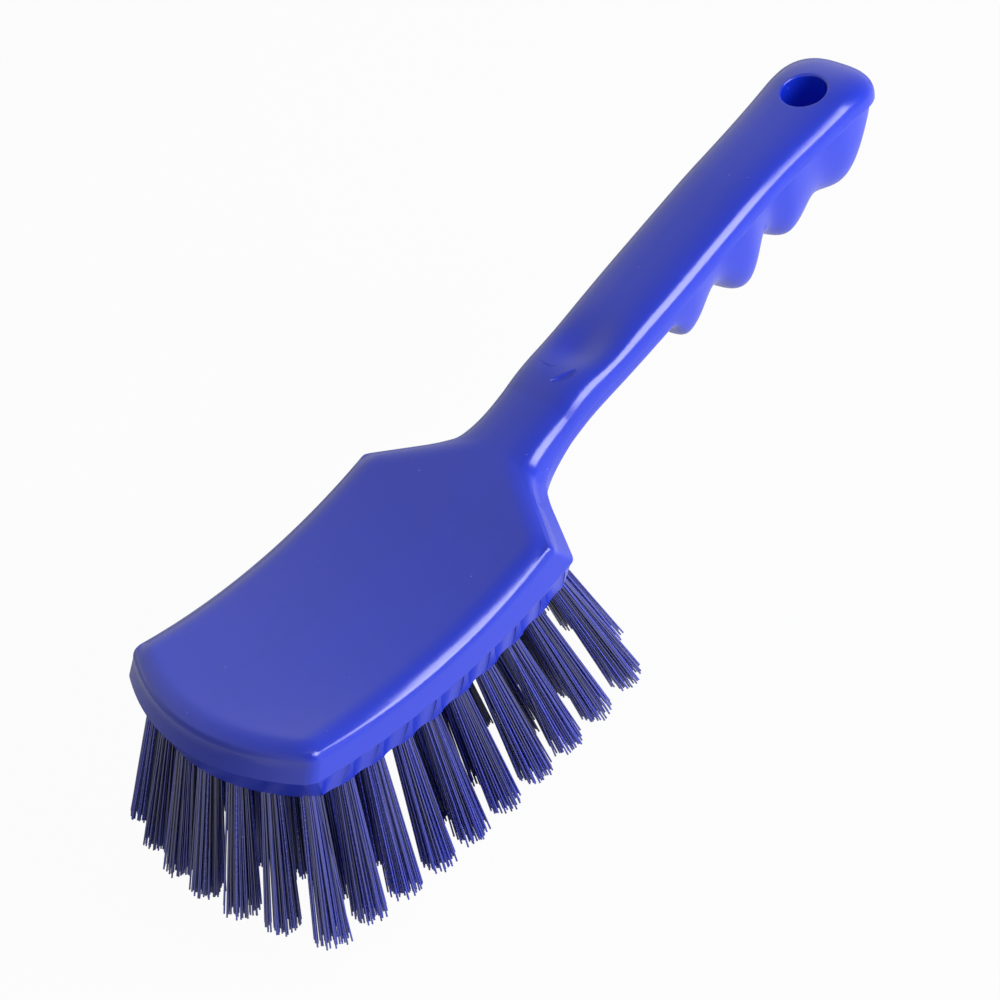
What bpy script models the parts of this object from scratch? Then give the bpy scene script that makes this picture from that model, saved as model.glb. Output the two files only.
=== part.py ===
"""Short-handled scrub brush: a one-piece moulded back and its bristle tufts.

The back is one moulding: a dished block, a neck with a thumb recess and a
raised handle with finger grooves and a hanging hole. Each tuft is a separate
piece, set in a blind hole that is drilled along the tuft's own lean.

All sizes are in metres. The model is drawn with x = 0 at the block's front
corners, x growing towards the handle, and z = 0 at the height of the block's
top corners. At the end it is moved so that the origin lies in the middle of
the bounding box's underside, at the bristle tips.
"""
import math

import bmesh
import bpy
from mathutils import Matrix, Vector
from mathutils.geometry import delaunay_2d_cdt

# Block, seen from above
BLOCK_LENGTH = 0.0845
FRONT_HALF_WIDTH = 0.0317
REAR_HALF_WIDTH = 0.0329
SIDE_BULGE = 0.0004
FRONT_BOW = 0.0108
NECK_ROOT_SETBACK = 0.0121
NECK_ROOT_HALF_WIDTH = 0.0158

# Block, seen from the side
DISH_DEPTH = 0.0057
FRONT_CROWN = 0.0010
EDGE_RADIUS = 0.0026
FRONT_WALL_HEIGHT = 0.0063
REAR_WALL_HEIGHT = 0.0086
NECK_WALL_HEIGHT = 0.0060
RIM_HEIGHT = 0.0086

# How far the walls lean out from the top edge to the parting line
FRONT_DRAFT = 0.0032
SIDE_DRAFT = 0.0012
REAR_DRAFT = 0.0060
NECK_DRAFT_BACK = 0.0039
NECK_DRAFT_SIDE = 0.0018
RIM_TAPER = 0.0026

# The ledge under the parting line, and how far it deepens between the tufts
LEDGE_WIDTH = 0.0003
LEDGE_DROP = 0.0003
SCALLOP_DEPTH = 0.0012

# Neck and handle
HANDLE_RISE = math.radians(12.83)
NECK_START = 0.1180
HANDLE_END = 0.2595
HANDLE_STEP = 0.0028
NECK_HALF_WIDTH = 0.0128
GRIP_HALF_WIDTH = 0.0142
END_HALF_WIDTH = 0.0155
NECK_CROWN_HEIGHT = 0.0034
GRIP_CROWN_HEIGHT = 0.0039
END_CROWN_HEIGHT = 0.0076
END_SWELL_START = 0.2080
END_ROUNDING = 0.0150
END_DROOP = 0.0028

# Underside of the handle: its depth under the parting line, place by place
RAMP_START = 0.1604
NECK_DEPTH = 0.0054
CREST_PLACES = (0.1695, 0.1962, 0.2168, 0.2405)
CREST_DEPTHS = (0.0156, 0.0231, 0.0217, 0.0216)
GROOVE_DEPTHS = (0.0137, 0.0164, 0.0190)
END_DEPTH = 0.0030

# How far the sides draw in at the grooves, and how much of that each groove has
GROOVE_INSET = 0.0018
GROOVE_SHARES = (1.0, 1.0, 0.6)
END_INSET = 0.0032

# Exponents that set how boxy a rounded outline is
CROWN_EXPONENT = 2.6
CREST_EXPONENT = 4.0
GROOVE_EXPONENT = 2.5
END_PLAN_EXPONENT = 2.9
END_CROWN_EXPONENT = 2.8
END_BELLY_EXPONENT = 1.6

# Thumb recess and the ridge ahead of it
THUMB_CENTRE = 0.1385
THUMB_HALF_LENGTH = 0.0085
THUMB_HALF_WIDTH = 0.0080
THUMB_DEPTH = 0.0018
RIDGE_CENTRE = 0.1255
RIDGE_HALF_LENGTH = 0.0080
RIDGE_HEIGHT = 0.0007
RIDGE_RISE = 0.0010

# The neck's waist, where its sides draw in and it dips under the handle's line
WAIST_CENTRE = 0.1060
WAIST_HALF_LENGTH = 0.0072
WAIST_DIP = 0.0012
WAIST_DEPTH = 0.0007

# Hanging hole, along z, and the flat land round its upper rim
HANGING_HOLE_CENTRE = 0.2399
HANGING_HOLE_DIAMETER = 0.0130
HANGING_HOLE_SIDES = 24
LAND_WIDTH = 0.0016
LAND_CUT_DEPTH = 0.0005
CUT_OVERRUN = 0.0200

# Tuft holes in the underside
COLUMN_COUNTS = (8, 7, 8, 10)
SIDE_SETBACK = 0.0047
FRONT_SETBACK = 0.0063
REAR_SETBACK = 0.0062
TUFT_HOLE_DIAMETER = 0.0058
TUFT_HOLE_DEPTH = 0.0105
TUFT_HOLE_SIDES = 10

# Tufts
TUFT_CLEARANCE = 0.0003
BRISTLE_LENGTH = 0.0420
TRIM_RADIUS = 0.2400
TRIM_LOWEST_PLACE = 0.0540
TRIM_FLAT_DEPTH = 0.0005
END_LEAN = math.radians(19)
SIDE_LEAN = math.radians(11)
RING_STRANDS = 7
STRAND_SIDES = 3
STRAND_ROOT_RADIUS = 0.00052
STRAND_TIP_RADIUS = 0.00085
STRAND_RING_RADIUS = 0.00165
TIP_RING_RADIUS = 0.0038

# Shares that place the points of a cross-section, from the middle outwards
ROW_SHARES = (0.0, 0.25, 0.5, 0.75)
CROWN_ANGLES = [math.radians(a) for a in (0, 14, 27, 40, 52, 62, 71, 80.5, 90)]
BELLY_ANGLES = [math.radians(a) for a in (90, 74, 58, 42, 22, 0)]
EDGE_ANGLES = [math.radians(a) for a in (0, 30, 60, 90)]
END_ANGLES = [math.radians(a) for a in (0, 11, 22, 33, 44, 54, 63, 71, 78, 84, 88)]
END_STATION_SHARE = 0.01
BLEND_PULL_SHARE = 0.22
REAR_WALL_STEPS = 3
BLEND_STEPS = 5

# Reach of the strands to the trimmed surface is found step by step
TRIM_PASSES = 12

# Faces that meet at less than this are shaded as one surface
SMOOTH_ANGLE = math.radians(35)

# Colour and roughness of each plastic
BACK_FINISH = ((0.030, 0.042, 0.560, 1.0), 0.22)
BRISTLE_FINISH = ((0.020, 0.028, 0.200, 1.0), 0.35)


def lerp(start, end, share):
    """Value at a share of the way from start to end."""
    return start + (end - start) * share


def smooth_step(start, end, value):
    """Share from 0 to 1 that eases in and out between two places."""
    share = min(max((value - start) / (end - start), 0.0), 1.0)
    return share * share * (3 - 2 * share)


def bump(value, centre, half_length):
    """Bell curve of height 1 round a centre."""
    return math.exp(-((value - centre) / half_length) ** 2)


def fall_off(share, exponent):
    """Quarter of a superellipse: 1 at share 0, down to 0 at share 1."""
    return (1 - share ** exponent) ** (1 / exponent)


def plastic(name, finish):
    """Principled material of one moulded or drawn plastic."""
    colour, roughness = finish
    material = bpy.data.materials.new(name)
    material.use_nodes = True
    shader = material.node_tree.nodes["Principled BSDF"]
    shader.inputs["Base Color"].default_value = colour
    shader.inputs["Roughness"].default_value = roughness
    shader.inputs["Metallic"].default_value = 0.0
    material.diffuse_color = colour
    return material


# The block's walls, given at each level of the section


def wall_levels(length_share):
    """Outset from the top edge line and height over it, from rim to top face.

    Each level is (side outset, front outset, rear outset, height).
    """
    wall = lerp(FRONT_WALL_HEIGHT, REAR_WALL_HEIGHT, length_share)
    levels = []
    for inset, drop in ((RIM_TAPER, RIM_HEIGHT), (LEDGE_WIDTH, LEDGE_DROP), (0.0, 0.0)):
        levels.append((SIDE_DRAFT - inset, FRONT_DRAFT - inset, REAR_DRAFT - inset, -(wall + drop)))
    half = math.sin(math.radians(45)) * EDGE_RADIUS
    for angle in EDGE_ANGLES:
        outset = EDGE_RADIUS * math.cos(angle) - half
        height = EDGE_RADIUS * math.sin(angle) - half
        levels.append((outset, outset, outset, height))
    return levels


def dish(length_share):
    """Height of the dished top edge line over its corners."""
    return -4 * DISH_DEPTH * length_share * (1 - length_share)


def bow(length_share, width_share):
    """How far a row bows forward of the line through its ends."""
    return FRONT_BOW * (1 - length_share) ** 2 * (1 - width_share ** 2)


def block_place(length_share, width_share, level):
    """Point of the block at shares of its length and width on one level."""
    side, front, rear, height = level
    half_width = lerp(FRONT_HALF_WIDTH, REAR_HALF_WIDTH, length_share) + side
    half_width += 4 * SIDE_BULGE * length_share * (1 - length_share)
    x = lerp(-front, BLOCK_LENGTH + rear, length_share) - bow(length_share, width_share)
    crown = FRONT_CROWN * (1 - length_share) ** 2 * (1 - width_share ** 2)
    return Vector((x, -half_width * width_share, dish(length_share) + height + crown))


def scallop(x):
    """Recess of the rim between two tufts of the outer column."""
    first, last = column_ends(len(COLUMN_COUNTS) - 1)
    pitch = (last - first) / (COLUMN_COUNTS[-1] - 1)
    if x < first or x > last:
        return 0.0
    return SCALLOP_DEPTH * (1 - math.cos(2 * math.pi * (x - first) / pitch)) / 2


def block_half_section(length_share):
    """Half of the block's section, from the underside's middle to the top's."""
    levels = wall_levels(length_share)
    points = [block_place(length_share, share, levels[0]) for share in ROW_SHARES]
    for level in levels:
        points.append(block_place(length_share, 1.0, level))
    for share in reversed(ROW_SHARES):
        points.append(block_place(length_share, share, levels[-1]))
    for point in points[len(ROW_SHARES):len(ROW_SHARES) + 2]:
        point.y += scallop(point.x)
    return points


def rear_half_section(share):
    """Half section along the slanting rear wall, 0 at the corner, 1 at the neck."""
    corner = block_half_section(1.0)
    levels = wall_levels(1.0)
    rows = len(ROW_SHARES)
    root_x = BLOCK_LENGTH + NECK_ROOT_SETBACK
    rise = math.tan(HANDLE_RISE)
    ends = []
    for index, level in enumerate(levels):
        side, height = level[0], level[-1]
        if index == 0:
            place = (root_x + NECK_DRAFT_BACK - RIM_TAPER / 2, NECK_ROOT_HALF_WIDTH - RIM_TAPER / 2)
        elif index < 3:
            inset = SIDE_DRAFT - side
            place = (root_x + NECK_DRAFT_BACK - inset / 2, NECK_ROOT_HALF_WIDTH + NECK_DRAFT_SIDE - inset)
            height += REAR_WALL_HEIGHT - NECK_WALL_HEIGHT
        else:
            place = (root_x + side / 2, NECK_ROOT_HALF_WIDTH + side)
        lift = NECK_ROOT_SETBACK * rise if index else 0.0
        ends.append(Vector((place[0], -place[1], lift + height)))
    points = [Vector((ends[0].x, ends[0].y * s, ends[0].z)) for s in ROW_SHARES]
    points += ends
    points += [Vector((ends[-1].x, ends[-1].y * s, ends[-1].z)) for s in reversed(ROW_SHARES)]
    result = []
    for start, end in zip(corner, points):
        result.append(start.lerp(end, share))
    # The top face keeps its lengthwise curve up to the handle's slope
    sag = (4 * DISH_DEPTH / BLOCK_LENGTH - rise) * NECK_ROOT_SETBACK * share * (1 - share)
    for point in result[rows + 3:]:
        point.z += sag
    return result


# The handle's section, given at each station along x


def past_grip(x):
    """Share from 0 at the last crest to 1 at the handle's end."""
    return smooth_step(CREST_PLACES[-1], HANDLE_END, x)


def top_line(x):
    """Height of the handle's top line."""
    return (x - BLOCK_LENGTH) * math.tan(HANDLE_RISE) - END_DROOP * past_grip(x)


def top_relief(x, y):
    """Height that the ridge and the thumb recess add to the top."""
    recess = THUMB_DEPTH * bump(x, THUMB_CENTRE, THUMB_HALF_LENGTH) * bump(y, 0.0, THUMB_HALF_WIDTH)
    return RIDGE_HEIGHT * bump(x, RIDGE_CENTRE, RIDGE_HALF_LENGTH) - recess


def belly_knots():
    """Places of the handle's crests, grooves and ends, each with its depth and groove share."""
    knots = [(RAMP_START, NECK_DEPTH, 0.0), (CREST_PLACES[0], CREST_DEPTHS[0], 0.0)]
    for index, depth in enumerate(GROOVE_DEPTHS):
        middle = (CREST_PLACES[index] + CREST_PLACES[index + 1]) / 2
        knots.append((middle, depth, GROOVE_SHARES[index]))
        knots.append((CREST_PLACES[index + 1], CREST_DEPTHS[index + 1], 0.0))
    return knots + [(HANDLE_END, END_DEPTH, 0.0)]


def belly_shape(x):
    """Depth under the parting line, and how much of a finger groove a place has."""
    knots = belly_knots()
    if x < knots[0][0]:
        return knots[0][1:]
    for near, far in zip(knots, knots[1:]):
        if x <= far[0]:
            break
    turn = math.pi * (x - near[0]) / (far[0] - near[0])
    share = (1 - math.cos(turn)) / 2
    return lerp(near[1], far[1], share), lerp(near[2], far[2], share)


def handle_half_section(x):
    """Half of the handle's section, from the underside's middle to the top's."""
    along = smooth_step(NECK_START, CREST_PLACES[0], x)
    to_end = smooth_step(END_SWELL_START, HANDLE_END, x)
    half_width = lerp(lerp(NECK_HALF_WIDTH, GRIP_HALF_WIDTH, along), END_HALF_WIDTH, to_end)
    full_crown = lerp(lerp(NECK_CROWN_HEIGHT, GRIP_CROWN_HEIGHT, along), END_CROWN_HEIGHT, to_end)
    parting = top_line(x) - full_crown
    share = max((x - (HANDLE_END - END_ROUNDING)) / END_ROUNDING, 0.0)
    half_width *= fall_off(share, END_PLAN_EXPONENT)
    crown = full_crown * fall_off(share, END_CROWN_EXPONENT)
    depth, groove = belly_shape(x)
    depth *= fall_off(share, END_BELLY_EXPONENT)
    shrink = half_width / END_HALF_WIDTH
    inset = lerp(LEDGE_WIDTH, GROOVE_INSET, groove) + END_INSET * past_grip(x)
    body_half_width = half_width - inset * shrink
    power = 2 / lerp(CREST_EXPONENT, GROOVE_EXPONENT, groove)
    points = []
    for angle in BELLY_ANGLES:
        y = body_half_width * max(math.cos(angle), 0.0) ** power
        z = parting - LEDGE_DROP * shrink - depth * math.sin(angle) ** power
        points.append(Vector((x, -y, z)))
    for angle in CROWN_ANGLES:
        y = half_width * max(math.cos(angle), 0.0) ** (2 / CROWN_EXPONENT)
        lift = math.sin(angle) ** (2 / CROWN_EXPONENT)
        z = parting + (crown + top_relief(x, y)) * lift
        points.append(Vector((x, -y, z)))
    return points


def neck_half_sections():
    """Sections that carry the rear wall's end into the handle on smooth curves."""
    start = rear_half_section(1.0)
    end = handle_half_section(NECK_START)
    sections = []
    for step in range(1, BLEND_STEPS):
        t = step / BLEND_STEPS
        section = []
        for a, c in zip(start, end):
            b = Vector((lerp(a.x, c.x, BLEND_PULL_SHARE), c.y, lerp(a.z, c.z, 1 - BLEND_PULL_SHARE)))
            section.append(a.lerp(b, t).lerp(b.lerp(c, t), t))
        sections.append(section)
    return sections


def shape_waist(half):
    """Draw a half section in and down at the neck's waist, and lift it at the ridge."""
    for point in half:
        waist = bump(point.x, WAIST_CENTRE, WAIST_HALF_LENGTH)
        point.y *= 1 - waist * WAIST_DEPTH / NECK_HALF_WIDTH
        point.z += RIDGE_RISE * bump(point.x, RIDGE_CENTRE, RIDGE_HALF_LENGTH) - WAIST_DIP * waist


def whole_ring(half):
    """Closed ring of points from a half section and its mirror image."""
    mirrored = [Vector((p.x, -p.y, p.z)) for p in reversed(half[1:-1])]
    return half + mirrored


def stations_along_block():
    """Shares of the block's length at which it has a section."""
    first, last = column_ends(len(COLUMN_COUNTS) - 1)
    quarters = 4 * (COLUMN_COUNTS[-1] - 1)
    reach = BLOCK_LENGTH + FRONT_DRAFT + REAR_DRAFT
    shares = []
    for step in range(quarters + 1):
        share = (lerp(first, last, step / quarters) + FRONT_DRAFT) / reach
        if END_STATION_SHARE < share < 1 - END_STATION_SHARE:
            shares.append(share)
    return [0.0] + shares + [1.0]


def stations_along_handle():
    """Places along x at which the handle has a section."""
    knots = [NECK_START] + [knot[0] for knot in belly_knots()[:-1]] + [HANDLE_END - END_ROUNDING]
    places = []
    for near, far in zip(knots, knots[1:]):
        count = max(round((far - near) / HANDLE_STEP), 1)
        places += [lerp(near, far, step / count) for step in range(count)]
    for angle in END_ANGLES:
        places.append(HANDLE_END - END_ROUNDING * (1 - math.sin(angle)))
    return places


def add_front_wall(bm, ring):
    """Close the loft's front with a wall that has the same levels as the sides."""
    rows = len(ROW_SHARES)
    levels = wall_levels(0.0)
    half_count = len(ring) // 2
    across = [-share for share in reversed(ROW_SHARES[1:])] + list(ROW_SHARES)
    columns = []
    right = [ring[rows + index] for index in range(len(levels))]
    left = [ring[-(rows + index)] for index in range(len(levels))]
    columns.append(left)
    for share in across:
        column = []
        for index, level in enumerate(levels):
            if index == 0:
                column.append(ring[round(share * rows) % len(ring)])
            elif index == len(levels) - 1:
                column.append(ring[half_count - round(share * rows)])
            else:
                column.append(bm.verts.new(block_place(0.0, share, level)))
        columns.append(column)
    columns.append(right)
    for near, far in zip(columns, columns[1:]):
        for index in range(len(levels) - 1):
            bm.faces.new((near[index], near[index + 1], far[index + 1], far[index]))


def back_loft():
    """Mesh of the block, neck and handle as one closed loft."""
    halves = [block_half_section(share) for share in stations_along_block()]
    for step in range(1, REAR_WALL_STEPS + 1):
        halves.append(rear_half_section(step / REAR_WALL_STEPS))
    halves += neck_half_sections()
    halves += [handle_half_section(x) for x in stations_along_handle()]
    bm = bmesh.new()
    rings = []
    for half in halves:
        shape_waist(half)
        rings.append([bm.verts.new(point) for point in whole_ring(half)])
    for near, far in zip(rings, rings[1:]):
        for index in range(len(near)):
            after = (index + 1) % len(near)
            bm.faces.new((near[index], near[after], far[after], far[index]))
    add_front_wall(bm, rings[0])
    bm.faces.new(rings[-1])
    bmesh.ops.recalc_face_normals(bm, faces=bm.faces)
    return bm


# Tufts and their holes


def column_line(column, length_share):
    """Place of a column across the block, at a share of the column's length."""
    half_width = lerp(FRONT_HALF_WIDTH, REAR_HALF_WIDTH, length_share)
    return column * (half_width - SIDE_SETBACK) / (len(COLUMN_COUNTS) - 1)


def column_ends(column):
    """First and last tuft of a column, along x."""
    across = column_line(column, 0.0) / (FRONT_HALF_WIDTH + SIDE_DRAFT)
    front = -FRONT_DRAFT - FRONT_BOW * (1 - across ** 2) + FRONT_SETBACK
    corner_x = BLOCK_LENGTH + REAR_DRAFT
    root_x = BLOCK_LENGTH + NECK_ROOT_SETBACK + NECK_DRAFT_BACK
    root_y = NECK_ROOT_HALF_WIDTH + NECK_DRAFT_SIDE
    slant = (corner_x - root_x) / (REAR_HALF_WIDTH + SIDE_DRAFT - root_y)
    rear = root_x + slant * max(column_line(column, 1.0) - root_y, 0.0) - REAR_SETBACK
    return front, rear


def underside(x):
    """Height of the block's underside at a place along x."""
    share = (x + FRONT_DRAFT) / (BLOCK_LENGTH + FRONT_DRAFT + REAR_DRAFT)
    return dish(share) + wall_levels(share)[0][3]


def tuft_places():
    """Root point and direction of every tuft, by columns from the -y side."""
    middle = BLOCK_LENGTH / 2
    reach = column_ends(0)[1] - middle
    places = []
    for column in range(1 - len(COLUMN_COUNTS), len(COLUMN_COUNTS)):
        count = COLUMN_COUNTS[abs(column)]
        first, last = column_ends(abs(column))
        for row in range(count):
            x = lerp(first, last, row / (count - 1))
            y = column_line(column, row / (count - 1))
            lean_x = math.tan(END_LEAN * (x - middle) / reach)
            lean_y = math.tan(SIDE_LEAN * column / (len(COLUMN_COUNTS) - 1))
            direction = Vector((lean_x, lean_y, -1.0)).normalized()
            places.append((column, row, Vector((x, y, underside(x))), direction))
    return places


def tuft_frame(root, direction):
    """Matrix that puts local z along a tuft, with local y across the block."""
    z_axis = direction
    x_axis = Vector((0.0, 1.0, 0.0)).cross(z_axis).normalized()
    y_axis = z_axis.cross(x_axis)
    turn = Matrix((x_axis, y_axis, z_axis)).transposed().to_4x4()
    return Matrix.Translation(root) @ turn


def circle_points(radius, sides, centre=(0.0, 0.0), turn=0.0):
    """Corners of a regular polygon in the plane."""
    points = []
    for index in range(sides):
        angle = turn + 2 * math.pi * index / sides
        points.append(Vector((centre[0] + radius * math.cos(angle), centre[1] + radius * math.sin(angle))))
    return points


def prism(bm, outline, low, high, place):
    """Closed prism over an outline, from low to high in a local frame."""
    bottom = [bm.verts.new(place @ Vector((p.x, p.y, low))) for p in outline]
    top = [bm.verts.new(place @ Vector((p.x, p.y, high))) for p in outline]
    bm.faces.new(list(reversed(bottom)))
    bm.faces.new(top)
    for index in range(len(outline)):
        after = (index + 1) % len(outline)
        bm.faces.new((bottom[index], bottom[after], top[after], top[index]))


def tuft_hole_cutters():
    """Mesh of all the drill shapes, one for each tuft."""
    bm = bmesh.new()
    outline = circle_points(TUFT_HOLE_DIAMETER / 2, TUFT_HOLE_SIDES)
    for *_, root, direction in tuft_places():
        prism(bm, outline, -TUFT_HOLE_DEPTH, TUFT_HOLE_DIAMETER, tuft_frame(root, direction))
    bmesh.ops.recalc_face_normals(bm, faces=bm.faces)
    return bm


def strand_centres(ring_radius):
    """Middles of a tuft's strands: one in the centre and a ring round it."""
    return [Vector((0.0, 0.0))] + circle_points(ring_radius, RING_STRANDS)


def trim_height(x):
    """Height of the convex surface that the bristles are trimmed to."""
    lowest = underside(BLOCK_LENGTH / 2) - BRISTLE_LENGTH
    curve = lowest + TRIM_RADIUS - math.sqrt(TRIM_RADIUS ** 2 - (x - TRIM_LOWEST_PLACE) ** 2)
    return max(curve, lowest + TRIM_FLAT_DEPTH)


def reach_trim(start, heading):
    """Point where a line from start meets the trimmed surface."""
    point = start
    for _ in range(TRIM_PASSES):
        point = start + heading * ((trim_height(point.x) - start.z) / heading.z)
    return point


def plug_top():
    """Flat mesh of a root plug's end face, with an outline for each strand."""
    plug_radius = (TUFT_HOLE_DIAMETER / 2) * math.cos(math.pi / TUFT_HOLE_SIDES) - TUFT_CLEARANCE
    points = circle_points(plug_radius, TUFT_HOLE_SIDES)
    loops = [list(range(TUFT_HOLE_SIDES))]
    for index, centre in enumerate(strand_centres(STRAND_RING_RADIUS)):
        turn = math.atan2(centre.y, centre.x)
        feet = circle_points(STRAND_ROOT_RADIUS, STRAND_SIDES, centre, turn)
        loops.append(list(range(len(points), len(points) + STRAND_SIDES)))
        points += feet
    edges = []
    for loop in loops:
        edges += list(zip(loop, loop[1:] + loop[:1]))
    faces = delaunay_2d_cdt(points, edges, [], 0, STRAND_ROOT_RADIUS / 100)[2]
    feet = [set(loop) for loop in loops[1:]]
    web = [face for face in faces if not any(set(face) <= foot for foot in feet)]
    return points, loops, web


def tuft_mesh(name, root, direction, top):
    """One tuft: a root plug whose end face carries the strands."""
    points, loops, web = top
    frame = tuft_frame(root, direction)
    turn = frame.to_3x3()
    bm = bmesh.new()
    face_verts = [bm.verts.new(frame @ Vector((p.x, p.y, -TUFT_CLEARANCE))) for p in points]
    for face in web:
        bm.faces.new([face_verts[index] for index in face])
    outline = loops[0]
    low = TUFT_CLEARANCE - TUFT_HOLE_DEPTH
    deep = [bm.verts.new(frame @ Vector((points[i].x, points[i].y, low))) for i in outline]
    bm.faces.new(deep)
    for index in range(len(outline)):
        after = (index + 1) % len(outline)
        bm.faces.new((face_verts[index], face_verts[after], deep[after], deep[index]))
    starts = strand_centres(STRAND_RING_RADIUS)
    ends = strand_centres(TIP_RING_RADIUS)
    for loop, start, end in zip(loops[1:], starts, ends):
        tips = []
        for index in loop:
            local = points[index] - start
            widened = end + local * (STRAND_TIP_RADIUS / STRAND_ROOT_RADIUS)
            step = Vector((widened.x - points[index].x, widened.y - points[index].y, BRISTLE_LENGTH))
            foot = face_verts[index].co
            tips.append(bm.verts.new(reach_trim(foot, turn @ step)))
        bm.faces.new(tips)
        for index in range(len(loop)):
            after = (index + 1) % len(loop)
            bm.faces.new((face_verts[loop[index]], face_verts[loop[after]], tips[after], tips[index]))
    bmesh.ops.recalc_face_normals(bm, faces=bm.faces)
    mesh = bpy.data.meshes.new(name)
    bm.to_mesh(mesh)
    bm.free()
    return mesh


# Objects


def new_object(name, bm_or_mesh, material, parent):
    """Object in the scene from a mesh, hung under the brush's empty."""
    mesh = bm_or_mesh
    if isinstance(bm_or_mesh, bmesh.types.BMesh):
        mesh = bpy.data.meshes.new(name)
        bm_or_mesh.to_mesh(mesh)
        bm_or_mesh.free()
    item = bpy.data.objects.new(name, mesh)
    bpy.context.scene.collection.objects.link(item)
    item.parent = parent
    if material:
        mesh.materials.append(material)
    return item


def cut(target, name, bm, parent):
    """Take a cutter's shape out of the target with an exact Boolean."""
    cutter = new_object(name, bm, None, parent)
    cutter.hide_render = True
    cutter.display_type = "WIRE"
    modifier = target.modifiers.new(name, "BOOLEAN")
    modifier.operation = "DIFFERENCE"
    modifier.solver = "EXACT"
    modifier.object = cutter
    return cutter


def hanging_hole_cutter():
    """Drill shape of the hanging hole, with overrun above and below."""
    bm = bmesh.new()
    outline = circle_points(HANGING_HOLE_DIAMETER / 2, HANGING_HOLE_SIDES)
    middle = Vector((HANGING_HOLE_CENTRE, 0.0, top_line(HANGING_HOLE_CENTRE)))
    deepest = END_CROWN_HEIGHT + CREST_DEPTHS[-1] + CUT_OVERRUN
    prism(bm, outline, -deepest, CUT_OVERRUN, Matrix.Translation(middle))
    bmesh.ops.recalc_face_normals(bm, faces=bm.faces)
    return bm


def land_cutter():
    """Shape that faces off a flat land, level with the handle, round the hole."""
    bm = bmesh.new()
    outline = circle_points(HANGING_HOLE_DIAMETER / 2 + LAND_WIDTH, HANGING_HOLE_SIDES)
    middle = Vector((HANGING_HOLE_CENTRE, 0.0, top_line(HANGING_HOLE_CENTRE)))
    tilt = Matrix.Rotation(-HANDLE_RISE, 4, "Y")
    prism(bm, outline, -LAND_CUT_DEPTH, CUT_OVERRUN, Matrix.Translation(middle) @ tilt)
    bmesh.ops.recalc_face_normals(bm, faces=bm.faces)
    return bm


def origin_of(items):
    """Middle of the underside of the box round some objects' meshes."""
    corners = [vertex.co for item in items for vertex in item.data.vertices]
    x_low = min(corner.x for corner in corners)
    x_high = max(corner.x for corner in corners)
    z_low = min(corner.z for corner in corners)
    return Vector(((x_low + x_high) / 2, 0.0, z_low))


def main():
    """Build the brush."""
    for item in list(bpy.data.objects):
        bpy.data.objects.remove(item)
    brush = bpy.data.objects.new("brush", None)
    bpy.context.scene.collection.objects.link(brush)
    back = new_object("brush_back", back_loft(), plastic("back_plastic", BACK_FINISH), brush)
    cut(back, "land_cutter", land_cutter(), brush)
    cut(back, "hanging_hole_cutter", hanging_hole_cutter(), brush)
    cut(back, "tuft_hole_cutters", tuft_hole_cutters(), brush)
    back.data.shade_smooth()
    back.data.set_sharp_from_angle(angle=SMOOTH_ANGLE)
    pieces = [back]
    top = plug_top()
    for column, row, root, direction in tuft_places():
        name = f"tuft_{column + len(COLUMN_COUNTS)}_{row + 1:02d}"
        mesh = tuft_mesh(name, root, direction, top)
        pieces.append(new_object(name, mesh, plastic(name, BRISTLE_FINISH), brush))
    brush.location = -origin_of(pieces)
    bpy.context.view_layer.update()


main()
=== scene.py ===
"""Short-handled scrub brush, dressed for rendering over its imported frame.

The file is laid out as an add-on. One operator makes the moulded back, one
makes the bristle tufts and one sets the stage. The moulding and the tufts are
drawn in the drawing frame of the brush: x = 0 at the block's front corners and
growing towards the handle, z = 0 at the height of the block's top corners. They
are then moved to the place that the frame gives.
"""
import math
import random
from functools import partial

import bmesh
import bpy
from bpy.props import FloatProperty, FloatVectorProperty, IntProperty, PointerProperty
from mathutils import Matrix, Vector


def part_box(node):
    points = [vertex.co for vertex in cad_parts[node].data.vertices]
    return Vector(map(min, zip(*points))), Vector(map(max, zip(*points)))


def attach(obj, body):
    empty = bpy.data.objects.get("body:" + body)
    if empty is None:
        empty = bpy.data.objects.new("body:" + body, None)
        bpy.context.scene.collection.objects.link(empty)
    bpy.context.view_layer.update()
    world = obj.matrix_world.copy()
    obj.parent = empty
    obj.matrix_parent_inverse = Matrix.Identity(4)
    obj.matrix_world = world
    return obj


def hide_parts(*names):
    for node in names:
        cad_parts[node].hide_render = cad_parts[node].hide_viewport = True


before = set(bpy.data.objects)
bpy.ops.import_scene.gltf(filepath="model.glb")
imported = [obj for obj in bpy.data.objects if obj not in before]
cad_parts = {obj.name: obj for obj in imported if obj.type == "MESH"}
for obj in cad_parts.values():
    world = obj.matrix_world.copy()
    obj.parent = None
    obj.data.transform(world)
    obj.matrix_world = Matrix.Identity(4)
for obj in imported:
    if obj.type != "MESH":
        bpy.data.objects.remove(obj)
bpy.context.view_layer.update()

bl_info = {
    "name": "Scrub Brush",
    "version": (1, 0, 0),
    "blender": (4, 5, 0),
    "location": "3D View > Sidebar > Scrub Brush",
    "description": "Moulded back, bristle tufts and stage of a short-handled scrub brush",
    "category": "Object",
}

# Block, seen from above, in metres
BLOCK_LENGTH = 0.0845
FRONT_HALF_WIDTH = 0.0317
REAR_HALF_WIDTH = 0.0329
SIDE_BULGE = 0.0004
FRONT_BOW = 0.0108
NECK_ROOT_SETBACK = 0.0121
NECK_ROOT_HALF_WIDTH = 0.0158

# Block, seen from the side
DISH_DEPTH = 0.0057
FRONT_CROWN = 0.0010
FRONT_WALL_HEIGHT = 0.0063
REAR_WALL_HEIGHT = 0.0086
NECK_WALL_HEIGHT = 0.0060
RIM_HEIGHT = 0.0086

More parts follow.
